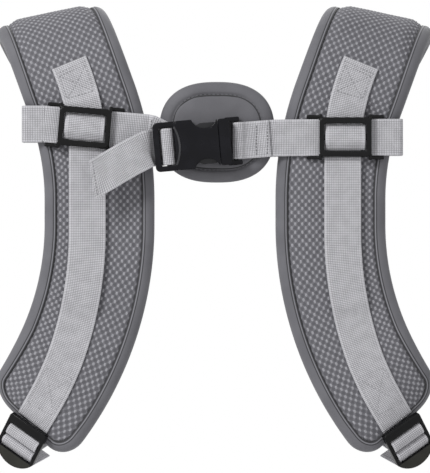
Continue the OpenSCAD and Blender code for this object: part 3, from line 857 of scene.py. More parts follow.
def flowing(points: Sequence[Vector], pitch: float) -> list[Vector]:
    """A smooth curve through points.

    Args:
        points: the points that it passes through.
        pitch: about how far apart it is sampled.

    Returns:
        Points from the first to the last given.
    """
    pts = [points[0] * 2 - points[1], *points, points[-1] * 2 - points[-2]]
    out: list[Vector] = []
    for i in range(1, len(pts) - 2):
        p0, p1, p2, p3 = pts[i - 1:i + 3]
        count = max(1, round((p2 - p1).length / pitch))
        for k in range(count):
            t = k / count
            out.append(0.5 * (2 * p1 + (p2 - p0) * t + (2 * p0 - 5 * p1 + 4 * p2 - p3) * t * t
                              + (3 * p1 - p0 - 3 * p2 + p3) * t ** 3))
    out.append(points[-1].copy())
    return out


# ---- Making meshes ----


def unevenness(depth: float, along: float, across: float, seed: float) -> Swell:
    """Slow waves of a webbing's surface, as a function of distances along and across it."""
    return lambda s, v: depth * noise.noise(Vector((s * along, v * across, seed)))


def tube(rings: int, count: int) -> Faces:
    """The faces that join rings of count points each, one after another."""
    return [(j * count + i, (j + 1) * count + i, (j + 1) * count + (i + 1) % count,
             j * count + (i + 1) % count) for j in range(rings - 1) for i in range(count)]


def ladder(start: int, far: int, rungs: int) -> Faces:
    """The faces across a ring's end, from its points start and far on towards each other."""
    return [(start + i, start + i + 1, start + far - i - 1, start + far - i) for i in range(rungs)]


def ray_tree(piece: Object) -> BVHTree:
    """A piece's surface, for casting rays onto it.

    Args:
        piece: the piece.

    Returns:
        Its surface.
    """
    work = bmesh.new()
    work.from_mesh(piece.data)
    tree = BVHTree.FromBMesh(work)
    work.free()
    return tree


@contextmanager
def opened(data: Mesh) -> Iterator[bmesh.types.BMesh]:
    """Opens a mesh for editing, and writes it back at the end.

    Args:
        data: the mesh.

    Yields:
        The mesh, open for cutting and joining.
    """
    work = bmesh.new()
    work.from_mesh(data)
    yield work
    work.to_mesh(data)
    work.free()


def placed(name: str, data: ID) -> Object:
    """Adds an object to the scene.

    Args:
        name: its name.
        data: what it shows.

    Returns:
        The object.
    """
    made = bpy.data.objects.new(name, data)
    bpy.context.scene.collection.objects.link(made)
    return made


class Spot(NamedTuple):
    """Where a bead sits on a surface, the way it lies and the way the surface faces."""

    place: Vector
    along: Vector
    facing: Vector


class Workshop:
    """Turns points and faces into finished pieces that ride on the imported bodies."""

    BAND_COLUMNS = 14
    BAND_EDGE = 0.42
    BAND_TURNS = (60, 30, 0, -30, -60)
    MERGE = 2e-6
    FLAT_ANGLE = math.radians(1.0)
    SHARP_ANGLE = math.radians(38)
    ROUNDED_ANGLE = math.radians(40)

    def __init__(self, form: HarnessForm, frame: dict) -> None:
        """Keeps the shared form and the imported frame."""
        self.form = form
        self.frame = frame

    @staticmethod
    def mesh(name: str, verts: Sequence[Vector], faces: Sequence[Sequence[int]],
             finishes: Sequence[Finish], uvs: Sequence[Pair] | None = None,
             slots: Sequence[int] | None = None) -> Object:
        """Makes a closed mesh object.

        Args:
            name: the piece's name.
            verts: its points, in the shared frame.
            faces: its faces, as indices into verts.
            finishes: one per material slot.
            uvs: for each vertex, distances along and across its cloth, in millimetres.
            slots: for each face, its material slot.

        Returns:
            The object, linked to the scene, with its faces outward.
        """
        data = bpy.data.meshes.new(name)
        data.from_pydata([tuple(v) for v in verts], [], [tuple(f) for f in faces])
        if slots:
            data.polygons.foreach_set("material_index", list(slots))
        if uvs:
            layer = data.uv_layers.new(name="cloth")
            for loop in data.loops:
                layer.data[loop.index].uv = uvs[loop.vertex_index]
        for finish in finishes:
            data.materials.append(finish.material())
        data.polygons.foreach_set("use_smooth", [True] * len(data.polygons))
        with opened(data) as work:
            bmesh.ops.recalc_face_normals(work, faces=work.faces)
        data.update()
        return placed(name, data)

    @staticmethod
    def baked(piece: Object) -> Object:
        """Applies a piece's modifiers to its mesh.

        Args:
            piece: the piece.

        Returns:
            The same piece.
        """
        graph = bpy.context.evaluated_depsgraph_get()
        data = bpy.data.meshes.new_from_object(piece.evaluated_get(graph))
        data.name = piece.name
        piece.modifiers.clear()
        piece.data = data
        return piece

    @staticmethod
    def settle(piece: Object, body: str, slot: str, *nodes: str) -> None:
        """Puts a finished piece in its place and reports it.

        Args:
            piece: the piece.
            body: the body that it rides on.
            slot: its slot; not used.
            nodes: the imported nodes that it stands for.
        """
        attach(piece, body)
        if nodes:
            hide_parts(*nodes)
        log.info("%s rides on %s, %d faces", piece.name, body, len(piece.data.polygons))

    def ribbon(self, name: str, middle: Sequence[Vector], sides: Sequence[Vector], width: float,
               thick: float, finish: Finish, start: float = 0.0,
               swell: Swell | None = None) -> Object:
        """A flat band with rounded edges along a middle line.

        Args:
            name: the piece's name.
            middle: points along the band's middle line.
            sides: for each point, the direction across the band.
            width: the band's width.
            thick: its thickness.
            finish: its finish.
            start: where its weave starts, in metres.
            swell: its rise, from distances along and across, in metres.

        Returns:
            The band, closed at both ends.
        """
        edge, half = thick * self.BAND_EDGE, thick / 2
        inner = width / 2 - edge
        outline = [(lerp(-inner, inner, i / self.BAND_COLUMNS), half)
                   for i in range(self.BAND_COLUMNS + 1)]
        outline += [(inner + edge * math.cos(a), half * math.sin(a))
                    for a in map(math.radians, self.BAND_TURNS)]
        outline += [(-x, -h) for x, h in outline]
        verts: list[Vector] = []
        uvs: list[Pair] = []
        count, last, run = len(outline), len(middle) - 1, start
        for i, place in enumerate(middle):
            before, after = middle[max(0, i - 1)], middle[min(last, i + 1)]
            if i:
                run += (place - middle[i - 1]).length
            tangent = (after - before).normalized()
            side = (sides[i] - tangent * sides[i].dot(tangent)).normalized()
            up = side.cross(tangent)
            for x, h in outline:
                rise = swell(run, x) if swell else 0.0
                verts.append(place + side * x + up * (h + rise))
                uvs.append((run / MM, x / MM))
        faces = [(i * count + k, i * count + (k + 1) % count,
                  (i + 1) * count + (k + 1) % count, (i + 1) * count + k)
                 for i in range(last) for k in range(count)]
        faces += [tuple(range(count)), tuple(last * count + k for k in reversed(range(count)))]
        return self.mesh(name, verts, faces, [finish], uvs)

    def moulded(self, name: str, node: str, finish: Finish, width: float) -> Object:
        """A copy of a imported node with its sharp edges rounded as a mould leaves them.

        Args:
            name: the piece's name.
            node: the node that it copies.
            finish: its finish.
            width: width of the rounded edges.

        Returns:
            The rounded copy.
        """
        data = self.frame["nodes"][node].data.copy()
        data.name = name
        with opened(data) as work:
            bmesh.ops.remove_doubles(work, verts=work.verts, dist=self.MERGE)
            bmesh.ops.dissolve_limit(work, angle_limit=self.FLAT_ANGLE, verts=work.verts,
                                     edges=work.edges)
        data.materials.clear()
        data.materials.append(finish.material())
        made = placed(name, data)
        rounding = made.modifiers.new("rounding", "BEVEL")
        rounding.width = width
        rounding.segments = 3
        rounding.limit_method = "ANGLE"
        rounding.angle_limit = self.ROUNDED_ANGLE
        rounding.harden_normals = False
        self.baked(made)
        made.data.polygons.foreach_set("use_smooth", [True] * len(made.data.polygons))
        made.data.set_sharp_from_angle(angle=self.SHARP_ANGLE)
        return made

    def beads(self, name: str, spots: Sequence[Spot], size: Triple, finish: Finish, body: str,
              slot: str, facets: tuple[int, int] = (6, 4)) -> None:
        """A piece of small rounded beads on a surface: stitches, or the raised dots of a mesh.

        Args:
            name: the piece's name.
            spots: where each bead sits and how it lies.
            size: a bead's length, width and height, in millimetres.
            finish: its finish.
            body: the body that the piece rides on.
            slot: its slot.
            facets: how many are round a bead, and along it.
        """
        data = bpy.data.meshes.new(name)
        data.from_pydata([tuple(s.place) for s in spots], [], [])
        for key, pick in (("along", 1), ("facing", 2)):
            layer = data.attributes.new(key, "FLOAT_VECTOR", "POINT")
            layer.data.foreach_set("vector", [c for s in spots for c in s[pick]])
        made = placed(name, data)
        setting = made.modifiers.new("beads", "NODES")
        setting.node_group = bead_tree(finish)
        wanted = dict(zip(BEAD_SIZES + BEAD_FACETS, [c * MM for c in size] + [*facets]))
        for item in setting.node_group.interface.items_tree:
            if item.name in wanted:
                setting[item.identifier] = wanted[item.name]
        made.update_tag()
        self.settle(self.baked(made), body, slot)


BEAD_SIZES = ("Length", "Width", "Height")
BEAD_FACETS = ("Sides", "Rings")


def bead_tree(finish: Finish) -> NodeTree:
    """The node tree that sets a bead on every point, turned to the point's own directions.

    Args:
        finish: the beads' finish.

    Returns:
        The tree, with a bead's sizes and facets as its inputs.
    """
    tree = bpy.data.node_groups.new(f"beads_{finish.name}", "GeometryNodeTree")
    kinds = [("Geometry", "Geometry"), *((key, "Float") for key in BEAD_SIZES),
             *((key, "Int") for key in BEAD_FACETS)]
    for key, kind in kinds:
        tree.interface.new_socket(key, in_out="INPUT", socket_type=f"NodeSocket{kind}")
    tree.interface.new_socket("Geometry", in_out="OUTPUT", socket_type="NodeSocketGeometry")
    add, link = tree.nodes.new, tree.links.new
    given, done = add("NodeGroupInput"), add("NodeGroupOutput")
    ball, scale = add("GeometryNodeMeshUVSphere"), add("ShaderNodeCombineXYZ")
    ball.inputs["Radius"].default_value = 0.5
    spread, real = add("GeometryNodeInstanceOnPoints"), add("GeometryNodeRealizeInstances")
    shade, paint = add("GeometryNodeSetShadeSmooth"), add("GeometryNodeSetMaterial")
    paint.inputs["Material"].default_value = finish.material()
    turn = add("FunctionNodeAxesToRotation")
    turn.primary_axis, turn.secondary_axis = "Z", "X"
    for key, socket in (("facing", 0), ("along", 1)):
        named = add("GeometryNodeInputNamedAttribute")
        named.data_type = "FLOAT_VECTOR"
        named.inputs["Name"].default_value = key
        link(named.outputs[0], turn.inputs[socket])
    for axis, key in enumerate(BEAD_SIZES):
        link(given.outputs[key], scale.inputs[axis])
    for before, key, after, socket in (
            (given, "Sides", ball, "Segments"), (given, "Rings", ball, "Rings"),
            (given, "Geometry", spread, "Points"), (ball, "Mesh", spread, "Instance"),
            (turn, 0, spread, "Rotation"), (scale, 0, spread, "Scale"), (spread, 0, real, 0),
            (real, 0, shade, 0), (shade, 0, paint, 0), (paint, 0, done, 0)):
        link(before.outputs[key], after.inputs[socket])
    return tree


# ---- Padded shapes ----


CLOTH = {"vertex_group_mass": "held", "use_pressure": True, "quality": 5,
         "tension_stiffness": 12.0, "compression_stiffness": 12.0, "bending_stiffness": 0.4}


def swell_cloth(piece: Object, held: Sequence[int], cap: float, pressure: float = 3.0,
                frames: int = 12) -> None:
    """Puffs a closed cover with a short cloth simulation and keeps the result in its mesh.

    Args:
        piece: the cover.
        held: vertices that stay where they are, such as those along a seam.
        cap: how far any point may move.
        pressure: the filling's pressure.
        frames: how many frames the simulation runs.
    """
    rest = [v.co.copy() for v in piece.data.vertices]
    group = piece.vertex_groups.new(name="held")
    group.add(list(held), 1.0, "REPLACE")
    cloth = piece.modifiers.new("filling", "CLOTH")
    for key, value in CLOTH.items():
        setattr(cloth.settings, key, value)
    cloth.settings.uniform_pressure_force = pressure
    cloth.settings.effector_weights.gravity = 0.0
    cloth.point_cache.frame_start = 1
    cloth.point_cache.frame_end = frames
    scene = bpy.context.scene
    for frame in range(1, frames + 1):
        scene.frame_set(frame)
    graph = bpy.context.evaluated_depsgraph_get()
    puffed = [v.co.copy() for v in piece.evaluated_get(graph).data.vertices]
    piece.modifiers.clear()
    piece.vertex_groups.clear()
    for vertex, old, new in zip(piece.data.vertices, rest, puffed):
        move = new - old
        vertex.co = old + (move * (cap / move.length) if move.length > cap else move)
    scene.frame_set(1)
    piece.data.update()


@dataclass
class SubAssembly:
    """Pieces that belong together, made in the shop on the harness's shared form."""

    shop: Workshop

    @property
    def form(self) -> HarnessForm:
        """The harness's shared form."""
        return self.shop.form


@dataclass
class ShoulderPad(SubAssembly):
    """One padded shoulder strap: mesh-faced cushion, rolled binding, webbing strap and seams."""

    side: Side
    binding_w: float = 8.5 * MM
    lip_t: float = 1.0 * MM
    row_pitch: float = 2.6 * MM
    tuck: float = 8.3 * MM
    crown: float = 6.95 * MM
    side_bulge: tuple[Pair, ...] = ((5.6, 4.6), (4.4, 0.0), (5.6, -4.6))
    columns: int = 27
    swell_cap: float = 0.28 * MM
    lump: Pair = (0.16 * MM, 17 * MM)
    arch_extra: float = 2.4 * MM
    arch_after: Pair = (30 * MM, 22 * MM)
    arch_before: Pair = (70 * MM, 40 * MM)
    seam_in: float = 1.1 * MM
    groove: Pair = (0.75 * MM, 0.55 * MM)
    lip_dip: Pair = (0.45 * MM, 0.7 * MM)
    puckers: tuple[Triple, ...] = ((0.18, 9, 1.0), (0.12, 30, 2.0))
    dot: Triple = (3.0, 1.9, 0.65)
    dot_grid: Pair = (5.2 * MM, 4.8 * MM)
    dot_columns: int = 13
    dot_sunk: float = 0.22
    stitch: Triple = (1.7, 0.5, 0.4)
    stitch_pitch: float = 2.3 * MM
    seam_stitch: Triple = (2.2, 0.42, 0.42)
    seam_pitch: float = 2.9 * MM
    hem_round: float = 4.5 * MM
    body: str = "shoulder_straps"

    def __post_init__(self) -> None:
        """Lays out the outline's points with their inward directions."""
        form = self.form
        bend_rows = [form.corner_out * (1 - math.cos(math.radians(i * 6.0))) for i in range(15)]
        self.rows = bend_rows + steps(form.corner_out, form.pad.length(), self.row_pitch)
        inner = [form.edge(s, False) for s in reversed(self.rows)]
        outer = [form.edge(s, True) for s in self.rows]
        foot = [between(inner[-1], outer[0], i / 12) for i in range(1, 12)]
        self.inner_last = len(inner) - 1
        self.outer_first = len(inner) + len(foot)
        self.chain = inner + foot + outer
        self.inward = [self._inward(k) for k in range(len(self.chain))]
        reach = steps(-8 * MM, form.strap.length() + 8 * MM, 2 * MM)
        self.strap_line = [(s, form.strap.at(s)) for s in reach]
        self.name = self.side.word

    def _inward(self, k: int) -> Flat:
        """Which way is inward on the flat cloth.

        Args:
            k: a point of the outline.

        Returns:
            The unit direction into the pad.
        """
        if k in (0, len(self.chain) - 1):
            pad = self.form.pad
            return Pose(0.0, 0.0, pad.at(pad.length()).heading).beside(1.0 if k == 0 else -1.0)
        p, q = self.chain[k - 1], self.chain[k + 1]
        size = distance(p, q)
        return Flat((p.z - q.z) / size, (q.x - p.x) / size)

    def place(self, p: Pair, h: float) -> Vector:
        """The place on this side of a flat point.

        Args:
            p: a flat point.
            h: its height above the pad's middle surface.

        Returns:
            The place.
        """
        v = self.form.bend(p, h)
        v.x *= self.side.value
        return v

    def facing(self, p: Pair, sign: float = 1.0) -> Vector:
        """The way that the face, or with sign -1 the lining, faces at flat point p."""
        return (self.place(p, sign * 9 * MM) - self.place(p, 0.0)).normalized()

    def inset(self, k: int, q: float) -> Flat:
        """Outline point k, moved q into the pad."""
        p, n = self.chain[k], self.inward[k]
        return Flat(p.x + n.x * q, p.z + n.z * q)

    def ripple(self, p: Flat, scale: float, seed: float) -> float:
        """Smooth noise from -1 to 1 over the flat cloth."""
        return noise.noise(Vector((p.x / scale, p.z / scale, seed + 7.3 * self.side.value)))

    def cover_height(self, depth: float) -> float:
        """Height of the cushion's cover at this depth inside its seam."""
        sewn, tight = math.exp(-depth / (0.7 * MM)), math.exp(-depth / (5 * MM))
        return self.crown - 0.9 * MM * sewn - 0.55 * MM * tight

    def cushion(self) -> Object:
        """The cushion: mesh face, foam edge and lining in one closed cover, puffed as cloth.

        Returns:
            The finished cushion.
        """
        pad, cols = self.form.pad, self.columns
        high, wide_lump = self.lump
        verts: list[Vector] = []
        uvs: list[Pair] = []
        held: list[int] = []
        count = 2 * (cols + 3)
        ends = [(self.inner_last - j, self.outer_first + j) for j in range(len(self.rows))]
        first = [self.inset(k, self.tuck) for k in ends[0]]
        for j, (ka, kb) in enumerate(ends):
            s, pose = self.rows[j], pad.at(self.rows[j])
            a, b = self.inset(ka, self.tuck), self.inset(kb, self.tuck)
            wide, rise = distance(a, b), min(distance(first[0], a), distance(first[1], b))

            def put(p: Flat, h: float) -> None:
                """Adds one point of the cover.

                Args:
                    p: its flat place.
                    h: its height.
                """
                ahead, beside = pose.seen_from(p)
                uvs.append(((s + ahead) / MM, beside / MM))
                verts.append(self.place(p, h))

            def face(sign: float, order: range) -> None:
                """Adds the points across one face of the cover.

                Args:
                    sign: 1 for the mesh face, -1 for the lining.
                    order: the columns, in the ring's order.
                """
                for i in order:
                    t = 0.5 - 0.5 * math.cos(math.pi * i / (cols - 1))
                    t = lerp(i / (cols - 1), t, 0.55)
                    p = between(a, b, t)
                    depth = min(t * wide, (1 - t) * wide, rise)
                    lumps = high * self.ripple(p, wide_lump, 3.0 * sign) * smooth(depth / (4 * MM))
                    if sign > 0:
                        lumps += self.arch_crown(s) * smooth(depth / (8 * MM))
                    if depth < 1.2 * MM or sign > 0 and self.under_strap(p):
                        held.append(len(verts))
                    put(p, sign * (self.cover_height(depth) + lumps - 0.12 * MM))

            def bulge(k: int, sign: float) -> None:
                """Adds the foam's edge under the binding.

                Args:
                    k: a point of the outline.
                    sign: 1 to go down, -1 to go up.
                """
                for q, h in self.side_bulge:
                    held.append(len(verts))
                    put(self.inset(k, q * MM), sign * h * MM)

            face(1.0, range(cols))
            bulge(kb, 1.0)
            face(-1.0, range(cols - 1, -1, -1))
            bulge(ka, -1.0)
        faces = tube(len(self.rows), count)
        slots = [int(cols + 1 <= n % count < 2 * cols + 3) for n in range(len(faces))]
        for start in (0, (len(self.rows) - 1) * count):
            faces += ladder(start, 2 * cols + 2, cols - 1)
            faces += [tuple(start + i for i in range(cols - 1, cols + 4)),
                      (*(start + i for i in range(2 * cols + 2, count)), start)]
        slots += [1] * (len(faces) - len(slots))
        made = self.shop.mesh(f"{self.name}_pad_cushion", verts, faces, (MESH, LINING), uvs, slots)
        swell_cloth(made, held, self.swell_cap)
        self.shop.settle(made, self.body, "mesh_cover", f"{self.name}_pad_face",
                         f"{self.name}_pad_foam", f"{self.name}_pad_lining")
        return made

    def arch_crown(self, s: float) -> float:
        """Extra fullness of the cushion over the shoulder.

        Args:
            s: the distance from the lower end.

        Returns:
            The extra height.
        """
        pad, (after, rise), (before, fall) = self.form.pad, self.arch_after, self.arch_before
        start, stop = pad.length(3) + after, pad.length() - before
        return self.arch_extra * smooth((s - start) / rise) * smooth((stop - s) / fall)

    def strap_offset(self, p: Flat) -> Pair:
        """Places a point against the webbing strap's middle line.

        Args:
            p: a flat point.

        Returns:
            Distances along and beside it.
        """
        s, pose = min(self.strap_line, key=lambda e: (e[1].x - p.x) ** 2 + (e[1].z - p.z) ** 2)
        ahead, beside = pose.seen_from(p)
        return s + ahead, beside

    def under_strap(self, p: Flat, room: float = 0.0) -> bool:
        """Whether the strap is sewn down over a point.

        Args:
            p: a flat point.
            room: how far beside the strap still counts.

        Returns:
            True where the strap lies tight on the cover.
        """
        form = self.form
        s, v = self.strap_offset(p)
        if abs(v) > form.web_w / 2 + room or not -room < s < form.strap.length() + room:
            return False
        return s < form.sewn_end + 8 * MM or s > form.strap.length() - form.sewn_top - 4 * MM

    def lip(self, a: float, inner: float, pull: float) -> Pair:
        """The binding's section, with its sewn groove and thin lip.

        Args:
            a: the angle round its roll, from -90 degrees at the lining to 90 at the face.
            inner: how far below its surface.
            pull: the pucker of the cloth there.

        Returns:
            The inset from the pad's outline, and the height.
        """
        c, s = math.cos(a), math.sin(a)
        w = self.binding_w
        q = w - (w - inner) * abs(c) ** 0.9
        h = (self.form.half_t - inner) * math.copysign(abs(s) ** 0.92, s)
        dips = ((self.groove, q - w + self.seam_in), (self.lip_dip, q - w))
        sunk = sum(depth * math.exp(-(off / reach) ** 2) for (depth, reach), off in dips)
        puff = pull * max(0.0, math.sin(math.pi * min(1.0, q / w)))
        return q, math.copysign(max(0.0, abs(h) - sunk + puff), s)

    def binding(self) -> None:
        """The rolled binding over both edges and the lower end."""
        angles = [math.radians(lerp(-90, 90, i / 20)) for i in range(21)]
        verts: list[Vector] = []
        uvs: list[Pair] = []
        run = 0.0
        for k, p in enumerate(self.chain):
            if k:
                run += distance(p, self.chain[k - 1])
            pull = sum(depth * MM * self.ripple(p, size * MM, seed)
                       for depth, size, seed in self.puckers)
            for inner, turn in ((0.0, angles), (self.lip_t, reversed(angles))):
                for a in turn:
                    q, h = self.lip(a, inner, pull)
                    verts.append(self.place(self.inset(k, q), h))
                    uvs.append((run / MM, math.degrees(a) * 0.13))
        self.sleeve("rolled_binding", verts, uvs, 2 * len(angles), f"{self.name}_pad_binding")

    def sleeve(self, word: str, verts: list[Vector], uvs: list[Pair], count: int,
               *nodes: str) -> None:
        """Makes a folded length of binding.

        Args:
            word: how its name ends.
            verts: its points, ring after ring, each ring out along one face and back.
            uvs: for each point, distances along and across the cloth, in millimetres.
            count: how many points a ring has.
            nodes: the nodes that it stands for.
        """
        faces = tube(len(verts) // count, count)
        for start in (0, len(verts) - count):
            faces += ladder(start, count - 1, count // 2 - 1)
        made = self.shop.mesh(f"{self.name}_pad_{word}", verts, faces, (BINDING,), uvs)
        self.shop.settle(made, self.body, "binding", *nodes)

    def front_hem(self) -> None:
        """The binding folded over the pad's front end."""
        form = self.form
        total, top = form.pad.length(), form.half_t
        turn = -top / MM
        fold = [(-7.2, 0.75), (-6.6, 0.95), (-2, 0.95), (-0.4, 0.4), (0.7, -1.0), (1.3, -3.4),
                (1.5, turn)]
        lap = [(-7.2, 0.0), (-6.6, 0.0), (-2, 0.0), (-0.9, -0.5), (-0.2, -1.6), (0.3, -3.6),
               (0.5, turn)]
        outline: list[Triple] = []
        for line, sign in ((fold, 1), (fold[-2::-1], -1), (lap, -1), (lap[-2::-1], 1)):
            outline += [(total + s * MM, sign * (top + h * MM), sign * (4.0 - s)) for s, h in line]
        inner = form.full_half(total) + 0.3 * MM - self.hem_round
        ends = [inner + self.hem_round * part for part in (0.35, 0.6, 0.78, 0.9, 0.97, 1.0)]
        verts: list[Vector] = []
        uvs: list[Pair] = []
        for v in [-v for v in reversed(ends)] + steps(-inner, inner, 1.5 * MM) + ends:
            lean = min(1.0, max(0.0, (abs(v) - inner) / self.hem_round))
            share = math.sqrt(1 - 0.8 * lean ** 4)
            for s, h, cloth in outline:
                verts.append(self.place(form.pad.at(s).beside(v), h * share))
                uvs.append((v / MM, cloth))
        self.sleeve("front_hem", verts, uvs, len(outline))

    def seam(self) -> None:
        """Stitches along the binding's lip, on the face and on the lining."""
        inset = self.binding_w - self.seam_in
        line = [self.inset(k, inset) for k in range(len(self.chain))]
        for word, sign in (("face", 1.0), ("lining", -1.0)):
            h = sign * (self.form.half_t - 0.78 * MM)
            spots: list[Spot] = []
            for p, way in paced(line, self.seam_pitch):
                ahead = self.place((p.x + way.x * MM, p.z + way.z * MM), h) - self.place(p, h)
                spots.append(Spot(self.place(p, h), ahead.normalized(), self.facing(p, sign)))
            self.shop.beads(f"{self.name}_pad_{word}_seam", spots, self.seam_stitch,
                            GREY_THREAD, self.body, "binding")

    def dots(self, cushion: Object) -> None:
        """The raised dots of the mesh face, in a diamond grid that follows the pad.

        Args:
            cushion: the finished cushion that they sit on.
        """
        pad, top = self.form.pad, self.form.half_t
        tree = ray_tree(cushion)
        along, across = self.dot_grid
        spots: list[Spot] = []
        for m in range(int(pad.length() / along * 2) + 1):
            s = m * along / 2
            for n in range((m + 1) % 2 - self.dot_columns, self.dot_columns + 1, 2):
                v = n * across / 2
                p = pad.at(s).beside(v)
                if self.edge_room(p) < self.binding_w + 1.0 * MM or self.under_strap(p, 1.2 * MM):
                    continue
                out = self.facing(p)
                hit = tree.ray_cast(self.place(p, 12 * MM), -out, 10 * MM)[0]
                if hit:
                    way = self.place(pad.at(s + MM).beside(v), top) - self.place(p, top)
                    sunk = hit - out * (self.dot[2] * MM * self.dot_sunk)
                    spots.append(Spot(sunk, way.normalized(), out))
        self.shop.beads(f"{self.name}_pad_mesh_dots", spots, self.dot, DOT, self.body,
                        "mesh_cover", (8, 5))

    def edge_room(self, p: Flat) -> float:
        """Distance from flat point p to the pad's outline, up to 20 mm."""
        near = (q for q in self.chain if abs(q.x - p.x) < 0.02 and abs(q.z - p.z) < 0.02)
        return min((distance(p, q) for q in near), default=0.02)

    def strap(self) -> None:
        """The webbing strap with its boxed crosses."""
        form = self.form
        line, half = form.strap, form.web_w / 2
        middle, sides = [], []
        total = line.length()
        hem_starts, lumps = total - 6 * MM, unevenness(MM, 150, 150, 4.0 + self.side.value)
        for s in steps(0.0, hem_starts, 1.8 * MM)[:-1] + steps(hem_starts, total, 0.5 * MM):
            pose = line.at(s)
            h = form.strap_level(s) + form.web_t / 2
            a, b = self.place(pose.beside(-half), h), self.place(pose.beside(half), h)
            middle.append((a + b) / 2)
            sides.append((b - a).normalized() * self.side.value)

        def swell(s: float, v: float) -> float:
            """Slow unevenness, and the fold of the hem at the top end.

            Args:
                s: the distance along the strap.
                v: the distance across it.

            Returns:
                The rise.
            """
            sewn = s < form.sewn_end or s > total - form.sewn_top
            fold = 0.45 * MM * smooth((3 * MM - (total - s)) / (0.8 * MM))
            return (0.10 if sewn else 0.05) * lumps(s, v) + fold

        made = self.shop.ribbon(f"{self.name}_strap_webbing", middle, sides, form.web_w, form.web_t,
                                WEBBING, swell=swell)
        self.shop.settle(made, self.body, "webbing", f"{self.name}_strap")
        edge, hem, far = half - 3 * MM, total - 3.4 * MM, half - 1 * MM
        foot = self.crossed_box(11 * MM, 37 * MM, edge)
        head = self.crossed_box(total - 21 * MM, total - 5.4 * MM, edge)
        self.stitches(made, "foot", foot, FAINT_THREAD)
        # The row across at hem is hem stitching in dark thread that also paints the shadow line
        # under the hem's fold.
        self.stitches(made, "head", [*head, (Flat(hem, -far), Flat(hem, far))], SPECK_THREAD)

    @staticmethod
    def crossed_box(low: float, high: float, edge: float) -> list[tuple[Flat, Flat]]:
        """The four sides and two diagonals of a sewn box.

        Args:
            low: where it starts along the strap.
            high: where it ends.
            edge: half of its width.

        Returns:
            The rows' ends, along and across the strap.
        """
        corners = [Flat(low, -edge), Flat(low, edge), Flat(high, edge), Flat(high, -edge)]
        return ([(corners[i], corners[(i + 1) % 4]) for i in range(4)]
                + [(corners[0], corners[2]), (corners[1], corners[3])])

    def stitches(self, strap: Object, word: str, runs: list[tuple[Flat, Flat]],
                 thread: Finish) -> None:
        """Rows of stitches on the webbing strap.

        Args:
            strap: the finished strap.
            word: which of its ends they are on.
            runs: each row's ends, as distances along and across the strap.
            thread: their finish.
        """
        form, tree = self.form, ray_tree(strap)
        spots: list[Spot] = []
        for q, way in (step for run in runs for step in paced(run, self.stitch_pitch)):
            p = form.strap.at(q.x).beside(q.z)
            ahead = form.strap.at(q.x + way.x * MM).beside(q.z + way.z * MM)
            h, out = form.strap_level(q.x) + form.web_t, self.facing(p)
            hit = tree.ray_cast(self.place(p, h + 4 * MM), -out, 8 * MM)[0]
            if hit:
                along = (self.place(ahead, h) - self.place(p, h)).normalized()
                spots.append(Spot(hit, along, out))
        self.shop.beads(f"{self.name}_strap_{word}_stitches", spots, self.stitch, thread,
                        self.body, "webbing")

    def build(self) -> None:
        """Builds the whole padded strap."""
        cushion = self.cushion()
        self.binding()
        self.front_hem()
        self.seam()
        self.dots(cushion)
        self.strap()


def paced(line: Sequence[Flat], pitch: float) -> list[tuple[Flat, Flat]]:
    """Even places along a flat line.

    Args:
        line: the line's points.
        pitch: how far apart the places are.

    Returns:
        Each place, with the line's direction there.
    """
    out: list[tuple[Flat, Flat]] = []
    wait = pitch / 2
    for a, b in zip(line, line[1:]):
        size = distance(a, b)
        if size < 1e-9:
            continue
        way = Flat((b.x - a.x) / size, (b.z - a.z) / size)
        while wait <= size:
            out.append((Flat(a.x + way.x * wait, a.z + way.z * wait), way))
            wait += pitch
        wait -= size
    return out


